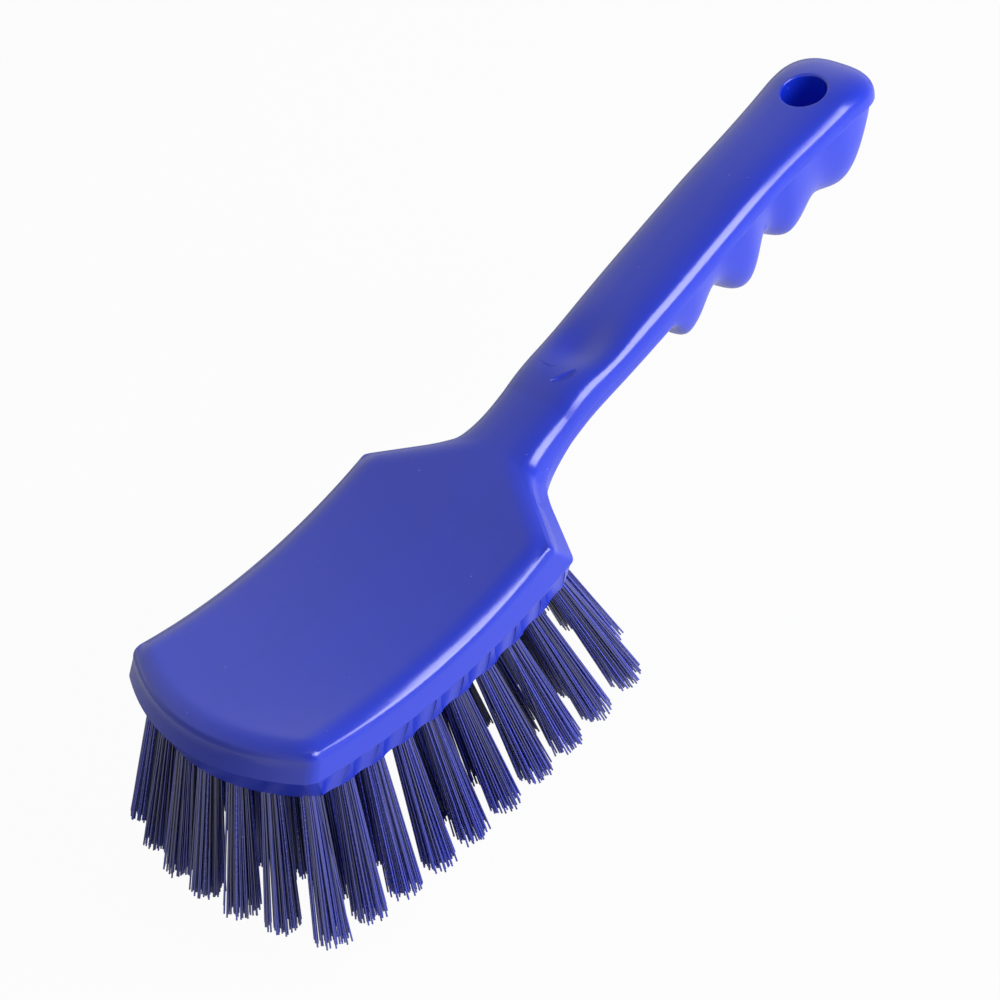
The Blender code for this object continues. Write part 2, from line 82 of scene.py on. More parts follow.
# How far the walls lean out from the top edge to the parting line
FRONT_DRAFT = 0.0032
SIDE_DRAFT = 0.0012
REAR_DRAFT = 0.0060
NECK_DRAFT_BACK = 0.0039
NECK_DRAFT_SIDE = 0.0018
RIM_TAPER = 0.0026

# The soft shoulder round the top face, inside its edge
SHOULDER_WIDTH = 0.0054

# The ledge under the parting line
LEDGE_WIDTH = 0.0003
LEDGE_DROP = 0.0003

# Neck and handle
HANDLE_RISE = math.radians(12.83)
NECK_START = 0.1180
HANDLE_END = 0.2595
NECK_HALF_WIDTH = 0.0123
GRIP_HALF_WIDTH = 0.0134
END_HALF_WIDTH = 0.0155
NECK_CROWN_HEIGHT = 0.0062
GRIP_CROWN_HEIGHT = 0.0066
END_CROWN_HEIGHT = 0.0076
END_SWELL_START = 0.2080
END_ROUNDING = 0.0150
END_DROOP = 0.0028

# How far the handle's top arches over its straight line, and from where to where
ARCH_HEIGHT = 0.0025
ARCH_START = 0.0880
ARCH_TOP_START = 0.1400
ARCH_TOP_END = 0.1950
ARCH_END = 0.2450

# Underside of the handle: its depth under the parting line, place by place
RAMP_START = 0.1604
NECK_DEPTH = 0.0054
CREST_PLACES = (0.1695, 0.1962, 0.2168, 0.2405)
CREST_DEPTHS = (0.0156, 0.0231, 0.0217, 0.0216)
GROOVE_DEPTHS = (0.0137, 0.0164, 0.0190)
END_DEPTH = 0.0030

# How far the sides draw in at the grooves, and how much of that each groove has
GROOVE_INSET = 0.0018
GROOVE_SHARES = (1.0, 1.0, 0.6)
END_INSET = 0.0018

# Exponents that set how boxy a rounded outline is
CROWN_EXPONENT = 2.8
CREST_EXPONENT = 4.0
GROOVE_EXPONENT = 2.5
END_PLAN_EXPONENT = 2.9
END_CROWN_EXPONENT = 2.8
END_BELLY_EXPONENT = 1.6

# Thumb recess and the ridge ahead of it
THUMB_CENTRE = 0.1375
THUMB_HALF_LENGTH = 0.0085
THUMB_HALF_WIDTH = 0.0080
THUMB_DEPTH = 0.0021
RIDGE_CENTRE = 0.1247
RIDGE_HALF_LENGTH = 0.0108
RIDGE_HEIGHT = 0.0007
RIDGE_RISE = 0.0008

# Two sink marks at the thumb recess: ends and pull of their curve, radius and lift
SINK_MARKS = (
    (((0.1236, -0.0009), (0.1268, -0.0045), (0.1308, -0.0045)), 0.00120, 0.00040),
    (((0.1291, 0.0074), (0.1262, 0.0036), (0.1293, -0.0002)), 0.00060, 0.00034),
)
SINK_MARK_TAPER = 0.02

# The neck's waist, where its sides draw in
WAIST_CENTRE = 0.1060
WAIST_HALF_LENGTH = 0.0072
WAIST_DEPTH = 0.0002

# Hanging hole, along z
HANGING_HOLE_CENTRE = 0.2399
HANGING_HOLE_DIAMETER = 0.0130
HANGING_HOLE_SIDES = 64
HOLE_FILLET = 0.00070
FILLET_START = math.radians(14)
CUT_OVERRUN = 0.0200

# Tuft holes in the underside
COLUMN_COUNTS = (8, 7, 8, 10)
SIDE_SETBACK = 0.0047
FRONT_SETBACK = 0.0063
REAR_SETBACK = 0.0062
TUFT_HOLE_DIAMETER = 0.0058
TUFT_HOLE_DEPTH = 0.0105
TUFT_HOLE_SIDES = 24
END_LEAN = math.radians(19)
SIDE_LEAN = math.radians(11)
TRIM_RADIUS = 0.2400
TRIM_LOWEST_PLACE = 0.0540
TRIM_FLAT_DEPTH = 0.0005

# Recesses in the rim between the tufts: flat along the ledge, open at the rim's foot
RIM_RECESS_LENGTH = 0.0084
RIM_RECESS_HEIGHT = 0.0120
RIM_RECESS_DEPTH = 0.0010

# Filaments: a few are loose, and those inside a tuft are darkened by painted shade
FILAMENT_SIDES = 6
FILAMENT_STEPS = 5
FILAMENT_ROOT_DEPTH = 0.0030
PLUG_CLEARANCE = 0.00012
TRIM_PASSES = 8
SPREAD_ACROSS = 0.90
LOOSE_SHARE = 0.03
LOOSE_GAIN = 5.0
ROOT_JITTER = 0.22
TIP_REACH = 0.0407
INNER_PAINTED_SHADE = 0.75

# How finely the moulding's skin is divided
WIDTH_STEPS = 16
CORNER_ANGLES = [math.radians(a) for a in (18, 36, 54, 72)]
RIM_SHARES = (1.0, 0.66, 0.33, 0.08)
LEDGE_ANGLES = [math.radians(a) for a in (0, 30, 60, 90)]
WALL_SHARES = (0.05, 0.35, 0.68)
EDGE_ANGLES = [math.radians(a) for a in range(0, 57, 8)]
LENGTH_STEPS = 96
TURN_STEPS = 5
REAR_STEPS = 12
NECK_STEPS = 36
FILLET_STEPS = 10
HANDLE_STEP = 0.0006
END_ANGLES = [math.radians(a) for a in range(0, 90, 4)]
HOLE_FILLET_STEPS = 8
SINK_MARK_STEPS = 24
SINK_MARK_SIDES = 16
RIM_RECESS_SEGMENTS = 32
RIM_RECESS_RINGS = 24

# Edges that turn by more than this stay sharp in the shading
MOULDING_SHARP_ANGLE = math.radians(32)
FILAMENT_SHARP_ANGLE = math.radians(70)

# Worked out: points from the middle of a row to its side, length of the block at the
# parting line, and the sine of half a rounded edge's turn
SIDE_ROWS = WIDTH_STEPS + 1 + len(CORNER_ANGLES)
BLOCK_REACH = BLOCK_LENGTH + FRONT_DRAFT + REAR_DRAFT
EDGE_MIDDLE = math.sin(math.radians(45))

# The fillet between the rear wall and the neck: its start and end as shares of each
FILLET_REAR_SHARE = 0.78
FILLET_NECK_SHARE = 0.26

# The neck's blend: the share of it in which the block's sharp edge turns into the
# handle's crown, and how early the bend comes
FORM_SHARE = 0.42
BLEND_PULL_SHARE = 0.22

# Angles of the handle's section that face the block's rim, wall and edge
RIM_ANGLE = math.radians(22)
WALL_ANGLE = math.radians(14)
EDGE_ANGLE = math.radians(52)

# The photograph's camera, with sizes on the sensor in pixels of a frame 1000 wide
FRAME_PIXELS = 1000
FOCAL_PIXELS = 2350.0
SHIFT_RIGHT_PIXELS = -157.868
SHIFT_UP_PIXELS = -96.385
CAMERA_AZIMUTH = math.radians(-41.4535)
CAMERA_ELEVATION = math.radians(41.7522)
CAMERA_ROLL = math.radians(-10.7124)
CAMERA_DISTANCE = 0.58495
SENSOR_WIDTH = 36.0
CLIP_START_SHARE = 0.05
CLIP_END_SHARE = 40

# Lamps: name, direction from the brush, distance, width and height, which rays don't see it.
# The key stands beside the near long side, the glint over it and the fill over the handle.
# Only the glint shows in the plastic's reflections, and it gives no other light.
LAMPS = (
    ("key", Vector((0.386, -0.866, 0.317)), 0.85, (0.50, 0.62), "visible_glossy"),
    ("glint", Vector((0.300, -0.660, 0.715)), 0.85, (0.42, 0.50), "visible_diffuse"),
    ("fill", Vector((0.250, -0.100, 0.960)), 0.55, (0.45, 0.45), "visible_glossy"),
)

# Darker zones that the glossy plastic mirrors, the ceiling and the wall ahead of the block:
# direction of the middle, cosines at the zone's edge and where it is full, and its darkness
DARK_ZONES = (
    (Vector((0.200, -0.550, 0.810)), 0.20, 1.05, 0.82),
    (Vector((-0.880, 0.450, 0.150)), 0.70, 1.00, 0.60),
)

# The floor in reflections carries painted light and shadow: its glow is dimmer on the far side,
# as if lit from the near side, and dark under the block as a painted shadow. The dark
# footprint's start and end are in half sizes of the block.
FLOOR_DIVISIONS = 8
FLOOR_FAR_SHARE = 0.30
FLOOR_PAINTED_LIGHT_START = -0.030
FLOOR_PAINTED_LIGHT_END = 0.045
FOOTPRINT_CENTRE = Vector((-0.0935, 0.0, 0.0))
FOOTPRINT_SCALE = Vector((1 / 0.0485, 1 / 0.0410, 0.0))
FOOTPRINT_START = 0.8
FOOTPRINT_END = 2.0
FOOTPRINT_PAINTED_SHADOW = 0.02


# Kinds of property that the settings share
LengthProperty = partial(FloatProperty, min=0.0, unit="LENGTH", precision=4)
ShareProperty = partial(FloatProperty, min=0.0, max=1.0, subtype="FACTOR")
PowerProperty = partial(FloatProperty, min=0.0, unit="POWER")
ColourProperty = partial(FloatVectorProperty, min=0.0, max=1.0, subtype="COLOR")


class BrushSizes(bpy.types.PropertyGroup):
    """Sizes of the brush that a user would change."""

    corner_radius: LengthProperty(
        name="Corner radius", description="Rounding of the block's upright corners",
        default=0.0020)
    edge_radius: LengthProperty(
        name="Edge radius", description="Rounding between the walls and the top face",
        default=0.0026)
    bristle_length: LengthProperty(
        name="Bristle length", description="Free length of the bristles in the middle",
        default=0.0420)
    filament_diameter: LengthProperty(
        name="Filament diameter", description="Thickness of one filament",
        default=0.00050, min=0.0001, precision=5)
    filament_pitch: LengthProperty(
        name="Filament pitch", description="Spacing of the filaments at the root",
        default=0.00053, min=0.0002, precision=5)
    tip_spread: LengthProperty(
        name="Tip spread", description="Radius of a tuft at its tips", default=0.0047)
    tip_wander: LengthProperty(
        name="Tip wander", description="How far a filament's tip strays from its place",
        default=0.00026, precision=5)
    tip_unevenness: LengthProperty(
        name="Tip unevenness", description="How much shorter some filaments are than the trim",
        default=0.0014)
    seed: IntProperty(name="Seed", description="Seed of the filaments' spread", default=7, min=0)


class BrushFinishes(bpy.types.PropertyGroup):
    """Colours and gloss of the brush."""

    back_colour: ColourProperty(
        name="Back", description="Colour of the moulded plastic", default=(0.010, 0.042, 0.780))
    back_roughness: ShareProperty(
        name="Back roughness", description="Roughness of the moulded plastic", default=0.20)
    filament_colour: ColourProperty(
        name="Filaments", description="Colour of the filaments", default=(0.024, 0.038, 0.400))
    filament_roughness: ShareProperty(
        name="Filament roughness", description="Roughness of the filaments", default=0.22)


class BrushStage(bpy.types.PropertyGroup):
    """Floor and light."""

    floor_colour: ColourProperty(
        name="Floor", description="Colour of the floor", default=(0.80, 0.80, 0.80))
    floor_glow: ShareProperty(
        name="Floor glow", description="How white the floor is where it is seen", default=0.96)
    floor_half_size: LengthProperty(
        name="Floor half size", description="Half the width of the floor",
        default=3.0, min=0.5, precision=2)
    key_power: PowerProperty(
        name="Key light", description="Power of the soft light on the near long side", default=6.4)
    glint_power: PowerProperty(
        name="Highlight light", description="Power of the lamp that glossy surfaces mirror",
        default=5.2)
    fill_power: PowerProperty(
        name="Fill light", description="Power of the weak light over the handle", default=0.30)
    world_strength: FloatProperty(
        name="Surroundings", description="Brightness of the pale surroundings",
        default=0.20, min=0.0)


class BrushSettings(bpy.types.PropertyGroup):
    """Everything that the panel shows."""

    sizes: PointerProperty(type=BrushSizes)
    finishes: PointerProperty(type=BrushFinishes)
    stage: PointerProperty(type=BrushStage)


# Small sums


def lerp(start, end, share):
    """Value at a share of the way from start to end."""
    return start + (end - start) * share


def clamp(value, low=0.0, high=1.0):
    """Value kept between two limits."""
    return min(max(value, low), high)


def smooth_step(start, end, value):
    """Share from 0 to 1 that eases in and out between two places."""
    share = clamp((value - start) / (end - start))
    return share * share * (3 - 2 * share)


def bump(value, centre, half_length):
    """Bell curve of height 1 round a centre."""
    return math.exp(-((value - centre) / half_length) ** 2)


def fall_off(share, exponent):
    """Quarter of a superellipse: 1 at share 0, down to 0 at share 1."""
    return (1 - min(share, 1.0) ** exponent) ** (1 / exponent)


def bezier(start, pull, end, share):
    """Point of a quadratic Bezier curve."""
    return start.lerp(pull, share).lerp(pull.lerp(end, share), share)


# The block


def dish(length_share):
    """Height of the dished top edge line over its corners."""
    return -4 * DISH_DEPTH * length_share * (1 - length_share)


def wall_height(length_share):
    """Height of the wall from the parting line to the top edge line."""
    return lerp(FRONT_WALL_HEIGHT, REAR_WALL_HEIGHT, length_share)


def wall_levels():
    """Levels of the wall from the rim's foot to the top face.

    Each is the band that it lies in and how far through the band it is.
    """
    bands = (
        ("rim", RIM_SHARES), ("ledge", LEDGE_ANGLES),
        ("wall", WALL_SHARES), ("edge", EDGE_ANGLES))
    return [(band, amount) for band, amounts in bands for amount in amounts]


def level_place(level, draft, wall, edge_radius):
    """How far a level lies out from the top edge line, and its height over it."""
    band, amount = level
    half = EDGE_MIDDLE * edge_radius
    if band == "rim":
        outset = draft - lerp(LEDGE_WIDTH, RIM_TAPER, amount)
        return outset, -(wall + lerp(LEDGE_DROP, RIM_HEIGHT, amount))
    if band == "ledge":
        outset = draft - LEDGE_WIDTH * (1 - math.sin(amount))
        return outset, -(wall + LEDGE_DROP * math.cos(amount))
    if band == "wall":
        return lerp(draft, edge_radius - half, amount), lerp(-wall, -half, amount)
    return edge_radius * math.cos(amount) - half, edge_radius * math.sin(amount) - half


def block_level(level, length_share, edge_radius):
    """Side, front and rear outsets of a level, and its height."""
    wall = wall_height(length_share)
    drafts = (SIDE_DRAFT, FRONT_DRAFT, REAR_DRAFT)
    places = [level_place(level, draft, wall, edge_radius) for draft in drafts]
    return [outset for outset, height in places], places[0][1]


def root_place(level, edge_radius):
    """Point of a level where the rear wall meets the neck."""
    band, amount = level
    root_x = BLOCK_LENGTH + NECK_ROOT_SETBACK
    lift = top_line(root_x)
    outset, height = level_place(level, NECK_DRAFT_SIDE, NECK_WALL_HEIGHT, edge_radius)
    if band == "rim":
        ledge = Vector((NECK_DRAFT_BACK - LEDGE_WIDTH / 2, NECK_DRAFT_SIDE - LEDGE_WIDTH,
                        lift - NECK_WALL_HEIGHT - LEDGE_DROP))
        foot = Vector((NECK_DRAFT_BACK - RIM_TAPER / 2, -RIM_TAPER / 2,
                       -(REAR_WALL_HEIGHT + RIM_HEIGHT)))
        offset = ledge.lerp(foot, amount)
    else:
        if band == "ledge":
            back = NECK_DRAFT_BACK + (outset - NECK_DRAFT_SIDE) / 2
        elif band == "wall":
            back = lerp(NECK_DRAFT_BACK, edge_radius * (1 - EDGE_MIDDLE) / 2, amount)
        else:
            back = outset / 2
        offset = Vector((back, outset, lift + height))
    return Vector((root_x + offset.x, -(NECK_ROOT_HALF_WIDTH + offset.y), offset.z))


def width_places(half_width, corner_radius):
    """Distances from the middle at which a row of the block has points."""
    inner = half_width - corner_radius
    turns = [math.pi / 2 * step / WIDTH_STEPS for step in range(WIDTH_STEPS + 1)]
    places = [inner * math.sin(turn) for turn in turns]
    return places + [inner + corner_radius * math.sin(angle) for angle in CORNER_ANGLES]


def rounded_corner(behind, inside, radius):
    """Distances behind the front and inside the side, with the corner rounded."""
    if behind >= radius or inside >= radius:
        return behind, inside
    u = (radius - behind) / radius
    v = (radius - inside) / radius
    return radius * (1 - u * math.sqrt(1 - v * v / 2)), radius * (1 - v * math.sqrt(1 - u * u / 2))


def block_place(length_share, y, level, corner_radius):
    """Point of the block at a share of its length and a distance off the middle."""
    (side, front, rear), height = level
    half_width = block_half_width(length_share) + side
    reach = BLOCK_LENGTH + front + rear
    distance = abs(y)
    behind, inside = rounded_corner(length_share * reach, half_width - distance, corner_radius)
    distance = half_width - inside
    width_share = distance / half_width
    bow, crown = [
        size * (1 - length_share) ** 2 * (1 - width_share ** 2)
        for size in (FRONT_BOW, FRONT_CROWN)]
    top = dish(length_share) + height + crown
    return Vector((behind - front - bow, math.copysign(distance, y), top))


def block_half_width(length_share):
    """Half width of the top edge line."""
    half_width = lerp(FRONT_HALF_WIDTH, REAR_HALF_WIDTH, length_share)
    return half_width + 4 * SIDE_BULGE * length_share * (1 - length_share)


def add_shoulder(point, edge_radius):
    """Lift a point of the top face by the soft shoulder that runs round inside its edge."""
    inset = edge_radius * (EDGE_MIDDLE - math.cos(EDGE_ANGLES[-1]))
    y = abs(point.y)
    slant = Vector((NECK_ROOT_SETBACK, REAR_HALF_WIDTH - NECK_ROOT_HALF_WIDTH)).normalized()
    across = min(y / FRONT_HALF_WIDTH, 1.0)
    distances = (
        block_half_width(clamp(point.x / BLOCK_LENGTH)) - y,
        (BLOCK_LENGTH - point.x) * slant.y + (REAR_HALF_WIDTH - y) * slant.x,
        point.x + FRONT_BOW * (1 - across ** 2),
    )
    rise = SHOULDER_WIDTH / (2 * math.tan(EDGE_ANGLES[-1]))
    for distance in distances:
        rise *= 1 - (1 - clamp((distance - inset) / SHOULDER_WIDTH)) ** 2
    point.z += rise


def block_half_section(length_share, sizes):
    """Half of the block's section, from the underside's middle to the top's."""
    levels = [block_level(level, length_share, sizes.edge_radius) for level in wall_levels()]
    radius = sizes.corner_radius
    half_width = block_half_width(length_share)
    points = []
    for y in width_places(half_width + levels[0][0][0], radius):
        points.append(block_place(length_share, -y, levels[0], radius))
    for level in levels:
        points.append(block_place(length_share, -(half_width + level[0][0]), level, radius))
    for y in reversed(width_places(half_width + levels[-1][0][0], radius)):
        points.append(block_place(length_share, -y, levels[-1], radius))
        add_shoulder(points[-1], sizes.edge_radius)
    return points


def rear_half_section(share, sizes):
    """Half section along the slanting rear wall, 0 at the corner, 1 at the neck."""
    corner = block_half_section(1.0, sizes)
    roots = [root_place(level, sizes.edge_radius) for level in wall_levels()]
    top_row = SIDE_ROWS + len(roots)
    foot, edge = corner[SIDE_ROWS], corner[top_row - 1]

    def straight_row(root, side, row):
        return [Vector((root.x, root.y * (p.y / side.y), root.z)) for p in row]

    ends = straight_row(roots[0], foot, corner[:SIDE_ROWS]) + roots
    ends += straight_row(roots[-1], edge, corner[top_row:])
    for point in corner[top_row:]:
        point.z = edge.z
    section = [start.lerp(end, share) for start, end in zip(corner, ends)]
    for point in section[top_row:]:
        add_shoulder(point, sizes.edge_radius)
    return section


# The handle


def past_grip(x):
    """Share from 0 at the last crest to 1 at the handle's end."""
    return smooth_step(CREST_PLACES[-1], HANDLE_END, x)


def top_line(x):
    """Height of the handle's top line."""
    arch = smooth_step(ARCH_START, ARCH_TOP_START, x)
    arch *= 1 - smooth_step(ARCH_TOP_END, ARCH_END, x)
    rise = (x - BLOCK_LENGTH) * math.tan(HANDLE_RISE)
    return rise + ARCH_HEIGHT * arch - END_DROOP * past_grip(x)


def ridge(x):
    """Share of the ridge's full height at a place."""
    return bump(x, RIDGE_CENTRE, RIDGE_HALF_LENGTH)


def top_relief(x, y):
    """Height that the ridge and the thumb recess add to the top."""
    recess = THUMB_DEPTH * bump(x, THUMB_CENTRE, THUMB_HALF_LENGTH)
    return RIDGE_HEIGHT * ridge(x) - recess * bump(y, 0.0, THUMB_HALF_WIDTH)


def belly_knots():
    """Places of the handle's crests, grooves and ends, each with its depth and groove share."""
    knots = [(RAMP_START, NECK_DEPTH, 0.0), (CREST_PLACES[0], CREST_DEPTHS[0], 0.0)]
    for index, depth in enumerate(GROOVE_DEPTHS):
        middle = (CREST_PLACES[index] + CREST_PLACES[index + 1]) / 2
        knots.append((middle, depth, GROOVE_SHARES[index]))
        knots.append((CREST_PLACES[index + 1], CREST_DEPTHS[index + 1], 0.0))
    return knots + [(HANDLE_END, END_DEPTH, 0.0)]


def belly_shape(x):
    """Depth under the parting line, and how much of a finger groove a place has."""
    knots = belly_knots()
    if x < knots[0][0]:
        return knots[0][1:]
    for near, far in zip(knots, knots[1:]):
        if x <= far[0]:
            break
    turn = math.pi * (x - near[0]) / (far[0] - near[0])
    share = (1 - math.cos(turn)) / 2
    return lerp(near[1], far[1], share), lerp(near[2], far[2], share)


def handle_widths(x):
    """Half width, full crown and share of the end's rounding at a place."""
    along = smooth_step(NECK_START, CREST_PLACES[0], x)
    to_end = smooth_step(END_SWELL_START, HANDLE_END, x)
    half_width = lerp(lerp(NECK_HALF_WIDTH, GRIP_HALF_WIDTH, along), END_HALF_WIDTH, to_end)
    crown = lerp(lerp(NECK_CROWN_HEIGHT, GRIP_CROWN_HEIGHT, along), END_CROWN_HEIGHT, to_end)
    share = clamp((x - (HANDLE_END - END_ROUNDING)) / END_ROUNDING)
    return half_width * fall_off(share, END_PLAN_EXPONENT), crown, share


def handle_top(x, y):
    """Height of the handle's top at a place."""
    half_width, full_crown, share = handle_widths(x)
    crown = full_crown * fall_off(share, END_CROWN_EXPONENT)
    lift = fall_off(abs(y) / half_width, CROWN_EXPONENT)
    return top_line(x) - full_crown + (crown + top_relief(x, y)) * lift


def handle_half_section(x):
    """Half of the handle's section, from the underside's middle to the top's."""
    half_width, full_crown, share = handle_widths(x)
    parting = top_line(x) - full_crown
    crown = full_crown * fall_off(share, END_CROWN_EXPONENT)
    depth, groove = belly_shape(x)
    depth *= fall_off(share, END_BELLY_EXPONENT)
    shrink = half_width / END_HALF_WIDTH
    inset = (lerp(LEDGE_WIDTH, GROOVE_INSET, groove) + END_INSET * past_grip(x)) * shrink
    drop = LEDGE_DROP * shrink
    power = 2 / lerp(CREST_EXPONENT, GROOVE_EXPONENT, groove)

    def belly_point(angle):
        y = (half_width - inset) * max(math.cos(angle), 0.0) ** power
        return Vector((x, -y, parting - drop - depth * math.sin(angle) ** power))

    def crown_point(angle):
        y = half_width * max(math.cos(angle), 0.0) ** (2 / CROWN_EXPONENT)
        lift = math.sin(angle) ** (2 / CROWN_EXPONENT)
        return Vector((x, -y, parting + (crown + top_relief(x, y)) * lift))

    points = []
    for step in range(SIDE_ROWS):
        points.append(belly_point(lerp(math.pi / 2, RIM_ANGLE, step / SIDE_ROWS)))
    for band, amount in wall_levels():
        if band == "rim":
            points.append(belly_point(RIM_ANGLE * amount))
        elif band == "ledge":
            y = half_width - inset * (1 - math.sin(amount))
            points.append(Vector((x, -y, parting - drop * math.cos(amount))))
        elif band == "wall":
            points.append(crown_point(WALL_ANGLE * amount))
        else:
            points.append(crown_point(lerp(WALL_ANGLE, EDGE_ANGLE, amount / EDGE_ANGLES[-1])))
    for step in range(1, SIDE_ROWS + 1):
        points.append(crown_point(lerp(EDGE_ANGLE, math.pi / 2, step / SIDE_ROWS)))
    return points


def shape_waist(half):
    """Draw a half section in at the neck's waist, and lift it at the ridge."""
    for point in half:
        waist = bump(point.x, WAIST_CENTRE, WAIST_HALF_LENGTH)
        point.y *= 1 - waist * WAIST_DEPTH / NECK_HALF_WIDTH
        point.z += RIDGE_RISE * ridge(point.x)


def parting_row():
    """Number of the point of a half section that lies on the parting line."""
    return SIDE_ROWS + wall_levels().index(("ledge", LEDGE_ANGLES[-1]))


def neck_half_section(start, end, share):
    """Half section of the neck: its form changes first, and its size follows."""
    row = parting_row()
    form = smooth_step(0.0, FORM_SHARE, share)
    late = 2 * share * (1 - share) * BLEND_PULL_SHARE + share ** 2
    early = 2 * share * (1 - share) * (1 - BLEND_PULL_SHARE) + share ** 2
    rises = [half[-1].z - half[row].z for half in (start, end)]
    depths = [half[row].z - half[0].z for half in (start, end)]
    top = top_line(lerp(start[-1].x, end[-1].x, late))
    top += lerp(start[-1].z - top_line(start[-1].x), end[-1].z - top_line(end[-1].x), late)
    side_y = lerp(end[row].y, start[row].y, (1 - share) ** 2)
    side_z = top - lerp(*rises, late)
    section = []
    for index, (a, c) in enumerate(zip(start, end)):
        spans, pace = (rises, late) if index >= row else (depths, early)
        height = lerp((a.z - start[row].z) / spans[0], (c.z - end[row].z) / spans[1], form)
        width = lerp(a.y / start[row].y, c.y / end[row].y, form)
        z = side_z + height * lerp(*spans, pace)
        section.append(Vector((lerp(a.x, c.x, late), side_y * width, z)))
    return section


# The loft


def block_shares(sizes):
    """Shares of the block's length at which it has a section."""
    near = sizes.corner_radius / BLOCK_REACH
    shares = [0.0] + [near * (1 - math.sin(angle)) for angle in reversed(CORNER_ANGLES)]
    last = 1.0 - near / 2
    return shares + [lerp(near, last, step / LENGTH_STEPS) for step in range(LENGTH_STEPS + 1)]


def turning_halves(before, middle, after, steps):
    """Half sections between two others, on arcs that a third one pulls."""
    halves = []
    for step in range(1, steps):
        halves.append([bezier(a, b, c, step / steps) for a, b, c in zip(before, middle, after)])
    return halves


def loft_halves(sizes):
    """All the half sections, from the block's front to the handle's end."""
    halves = [block_half_section(share, sizes) for share in block_shares(sizes)]
    turn_share = sizes.corner_radius / (2 * NECK_ROOT_SETBACK)
    corner, after = block_half_section(1.0, sizes), rear_half_section(turn_share, sizes)
    halves += turning_halves(halves[-1], corner, after, TURN_STEPS)
    for step in range(REAR_STEPS + 1):
        share = lerp(turn_share, FILLET_REAR_SHARE, step / REAR_STEPS)
        halves.append(rear_half_section(share, sizes))
    start, end = rear_half_section(1.0, sizes), handle_half_section(NECK_START)
    after = neck_half_section(start, end, FILLET_NECK_SHARE)
    halves += turning_halves(halves[-1], start, after, FILLET_STEPS)
    for step in range(NECK_STEPS):
        share = lerp(FILLET_NECK_SHARE, 1.0, step / NECK_STEPS)
        halves.append(neck_half_section(start, end, share))
    straight = HANDLE_END - END_ROUNDING - NECK_START
    count = round(straight / HANDLE_STEP)
    halves += [handle_half_section(NECK_START + straight * step / count) for step in range(count)]
    for angle in END_ANGLES:
        halves.append(handle_half_section(HANDLE_END - END_ROUNDING * (1 - math.sin(angle))))
    return halves


def add_front_wall(bm, ring, sizes):
    """Close the loft's front with a wall that has the same levels as the sides."""
    levels = [block_level(level, 0.0, sizes.edge_radius) for level in wall_levels()]
    half_count = len(ring) // 2
    radius = sizes.corner_radius
    columns = [[ring[-(SIDE_ROWS + index)] for index in range(len(levels))]]
    for row in range(1 - SIDE_ROWS, SIDE_ROWS):
        column = [ring[row % len(ring)]]
        for level in levels[1:-1]:
            half_width = block_half_width(0.0) + level[0][0]
            y = math.copysign(width_places(half_width, radius)[abs(row)], -row)
            column.append(bm.verts.new(block_place(0.0, y, level, radius)))
        column.append(ring[half_count - row])
        columns.append(column)
    columns.append([ring[SIDE_ROWS + index] for index in range(len(levels))])
    for near, far in zip(columns, columns[1:]):
        for index in range(len(levels) - 1):
            bm.faces.new((near[index], near[index + 1], far[index + 1], far[index]))


def bridge(bm, rings):
    """Skin between rings of points, each joined to the next."""
    loops = [[bm.verts.new(point) for point in ring] for ring in rings]
    for near, far in zip(loops, loops[1:]):
        for index in range(len(near)):
            after = (index + 1) % len(near)
            bm.faces.new((near[index], near[after], far[after], far[index]))
    return loops


def moulding_mesh(sizes):
    """Skin of the block, neck and handle as one closed loft."""
    bm = bmesh.new()
    rings = []
    for half in loft_halves(sizes):
        shape_waist(half)
        rings.append(half + [Vector((p.x, -p.y, p.z)) for p in reversed(half[1:-1])])
    loops = bridge(bm, rings)
    add_front_wall(bm, loops[0], sizes)
    bm.faces.new(loops[-1])
    bmesh.ops.recalc_face_normals(bm, faces=bm.faces)
    return to_mesh("moulding", bm)


def to_mesh(name, bm):
    """Mesh data-block from a bmesh, which it frees."""
    mesh = bpy.data.meshes.new(name)
    bm.to_mesh(mesh)
    bm.free()
    return mesh


def add_object(name, data):
    """Object in the scene's own collection."""
    item = bpy.data.objects.new(name, data)
    bpy.context.scene.collection.objects.link(item)
    return item


# Tuft places


def column_line(column, length_share):
    """Place of a column across the block, at a share of the column's length."""
    half_width = lerp(FRONT_HALF_WIDTH, REAR_HALF_WIDTH, length_share)
    return column * (half_width - SIDE_SETBACK) / (len(COLUMN_COUNTS) - 1)


def column_ends(column):
    """First and last tuft of a column, along x."""
    across = column_line(column, 0.0) / (FRONT_HALF_WIDTH + SIDE_DRAFT)
    front = -FRONT_DRAFT - FRONT_BOW * (1 - across ** 2) + FRONT_SETBACK
    corner_x = BLOCK_LENGTH + REAR_DRAFT
    root_x = BLOCK_LENGTH + NECK_ROOT_SETBACK + NECK_DRAFT_BACK
    root_y = NECK_ROOT_HALF_WIDTH + NECK_DRAFT_SIDE
    slant = (corner_x - root_x) / (REAR_HALF_WIDTH + SIDE_DRAFT - root_y)
    rear = root_x + slant * max(column_line(column, 1.0) - root_y, 0.0) - REAR_SETBACK
    return front, rear


def rim_share(x):
    """Share of the block's length, as its parting line has it, at a place along x."""
    return (x + FRONT_DRAFT) / BLOCK_REACH


def underside(x):
    """Height of the block's underside at a place along x."""
    share = rim_share(x)
    return dish(share) - wall_height(share) - RIM_HEIGHT


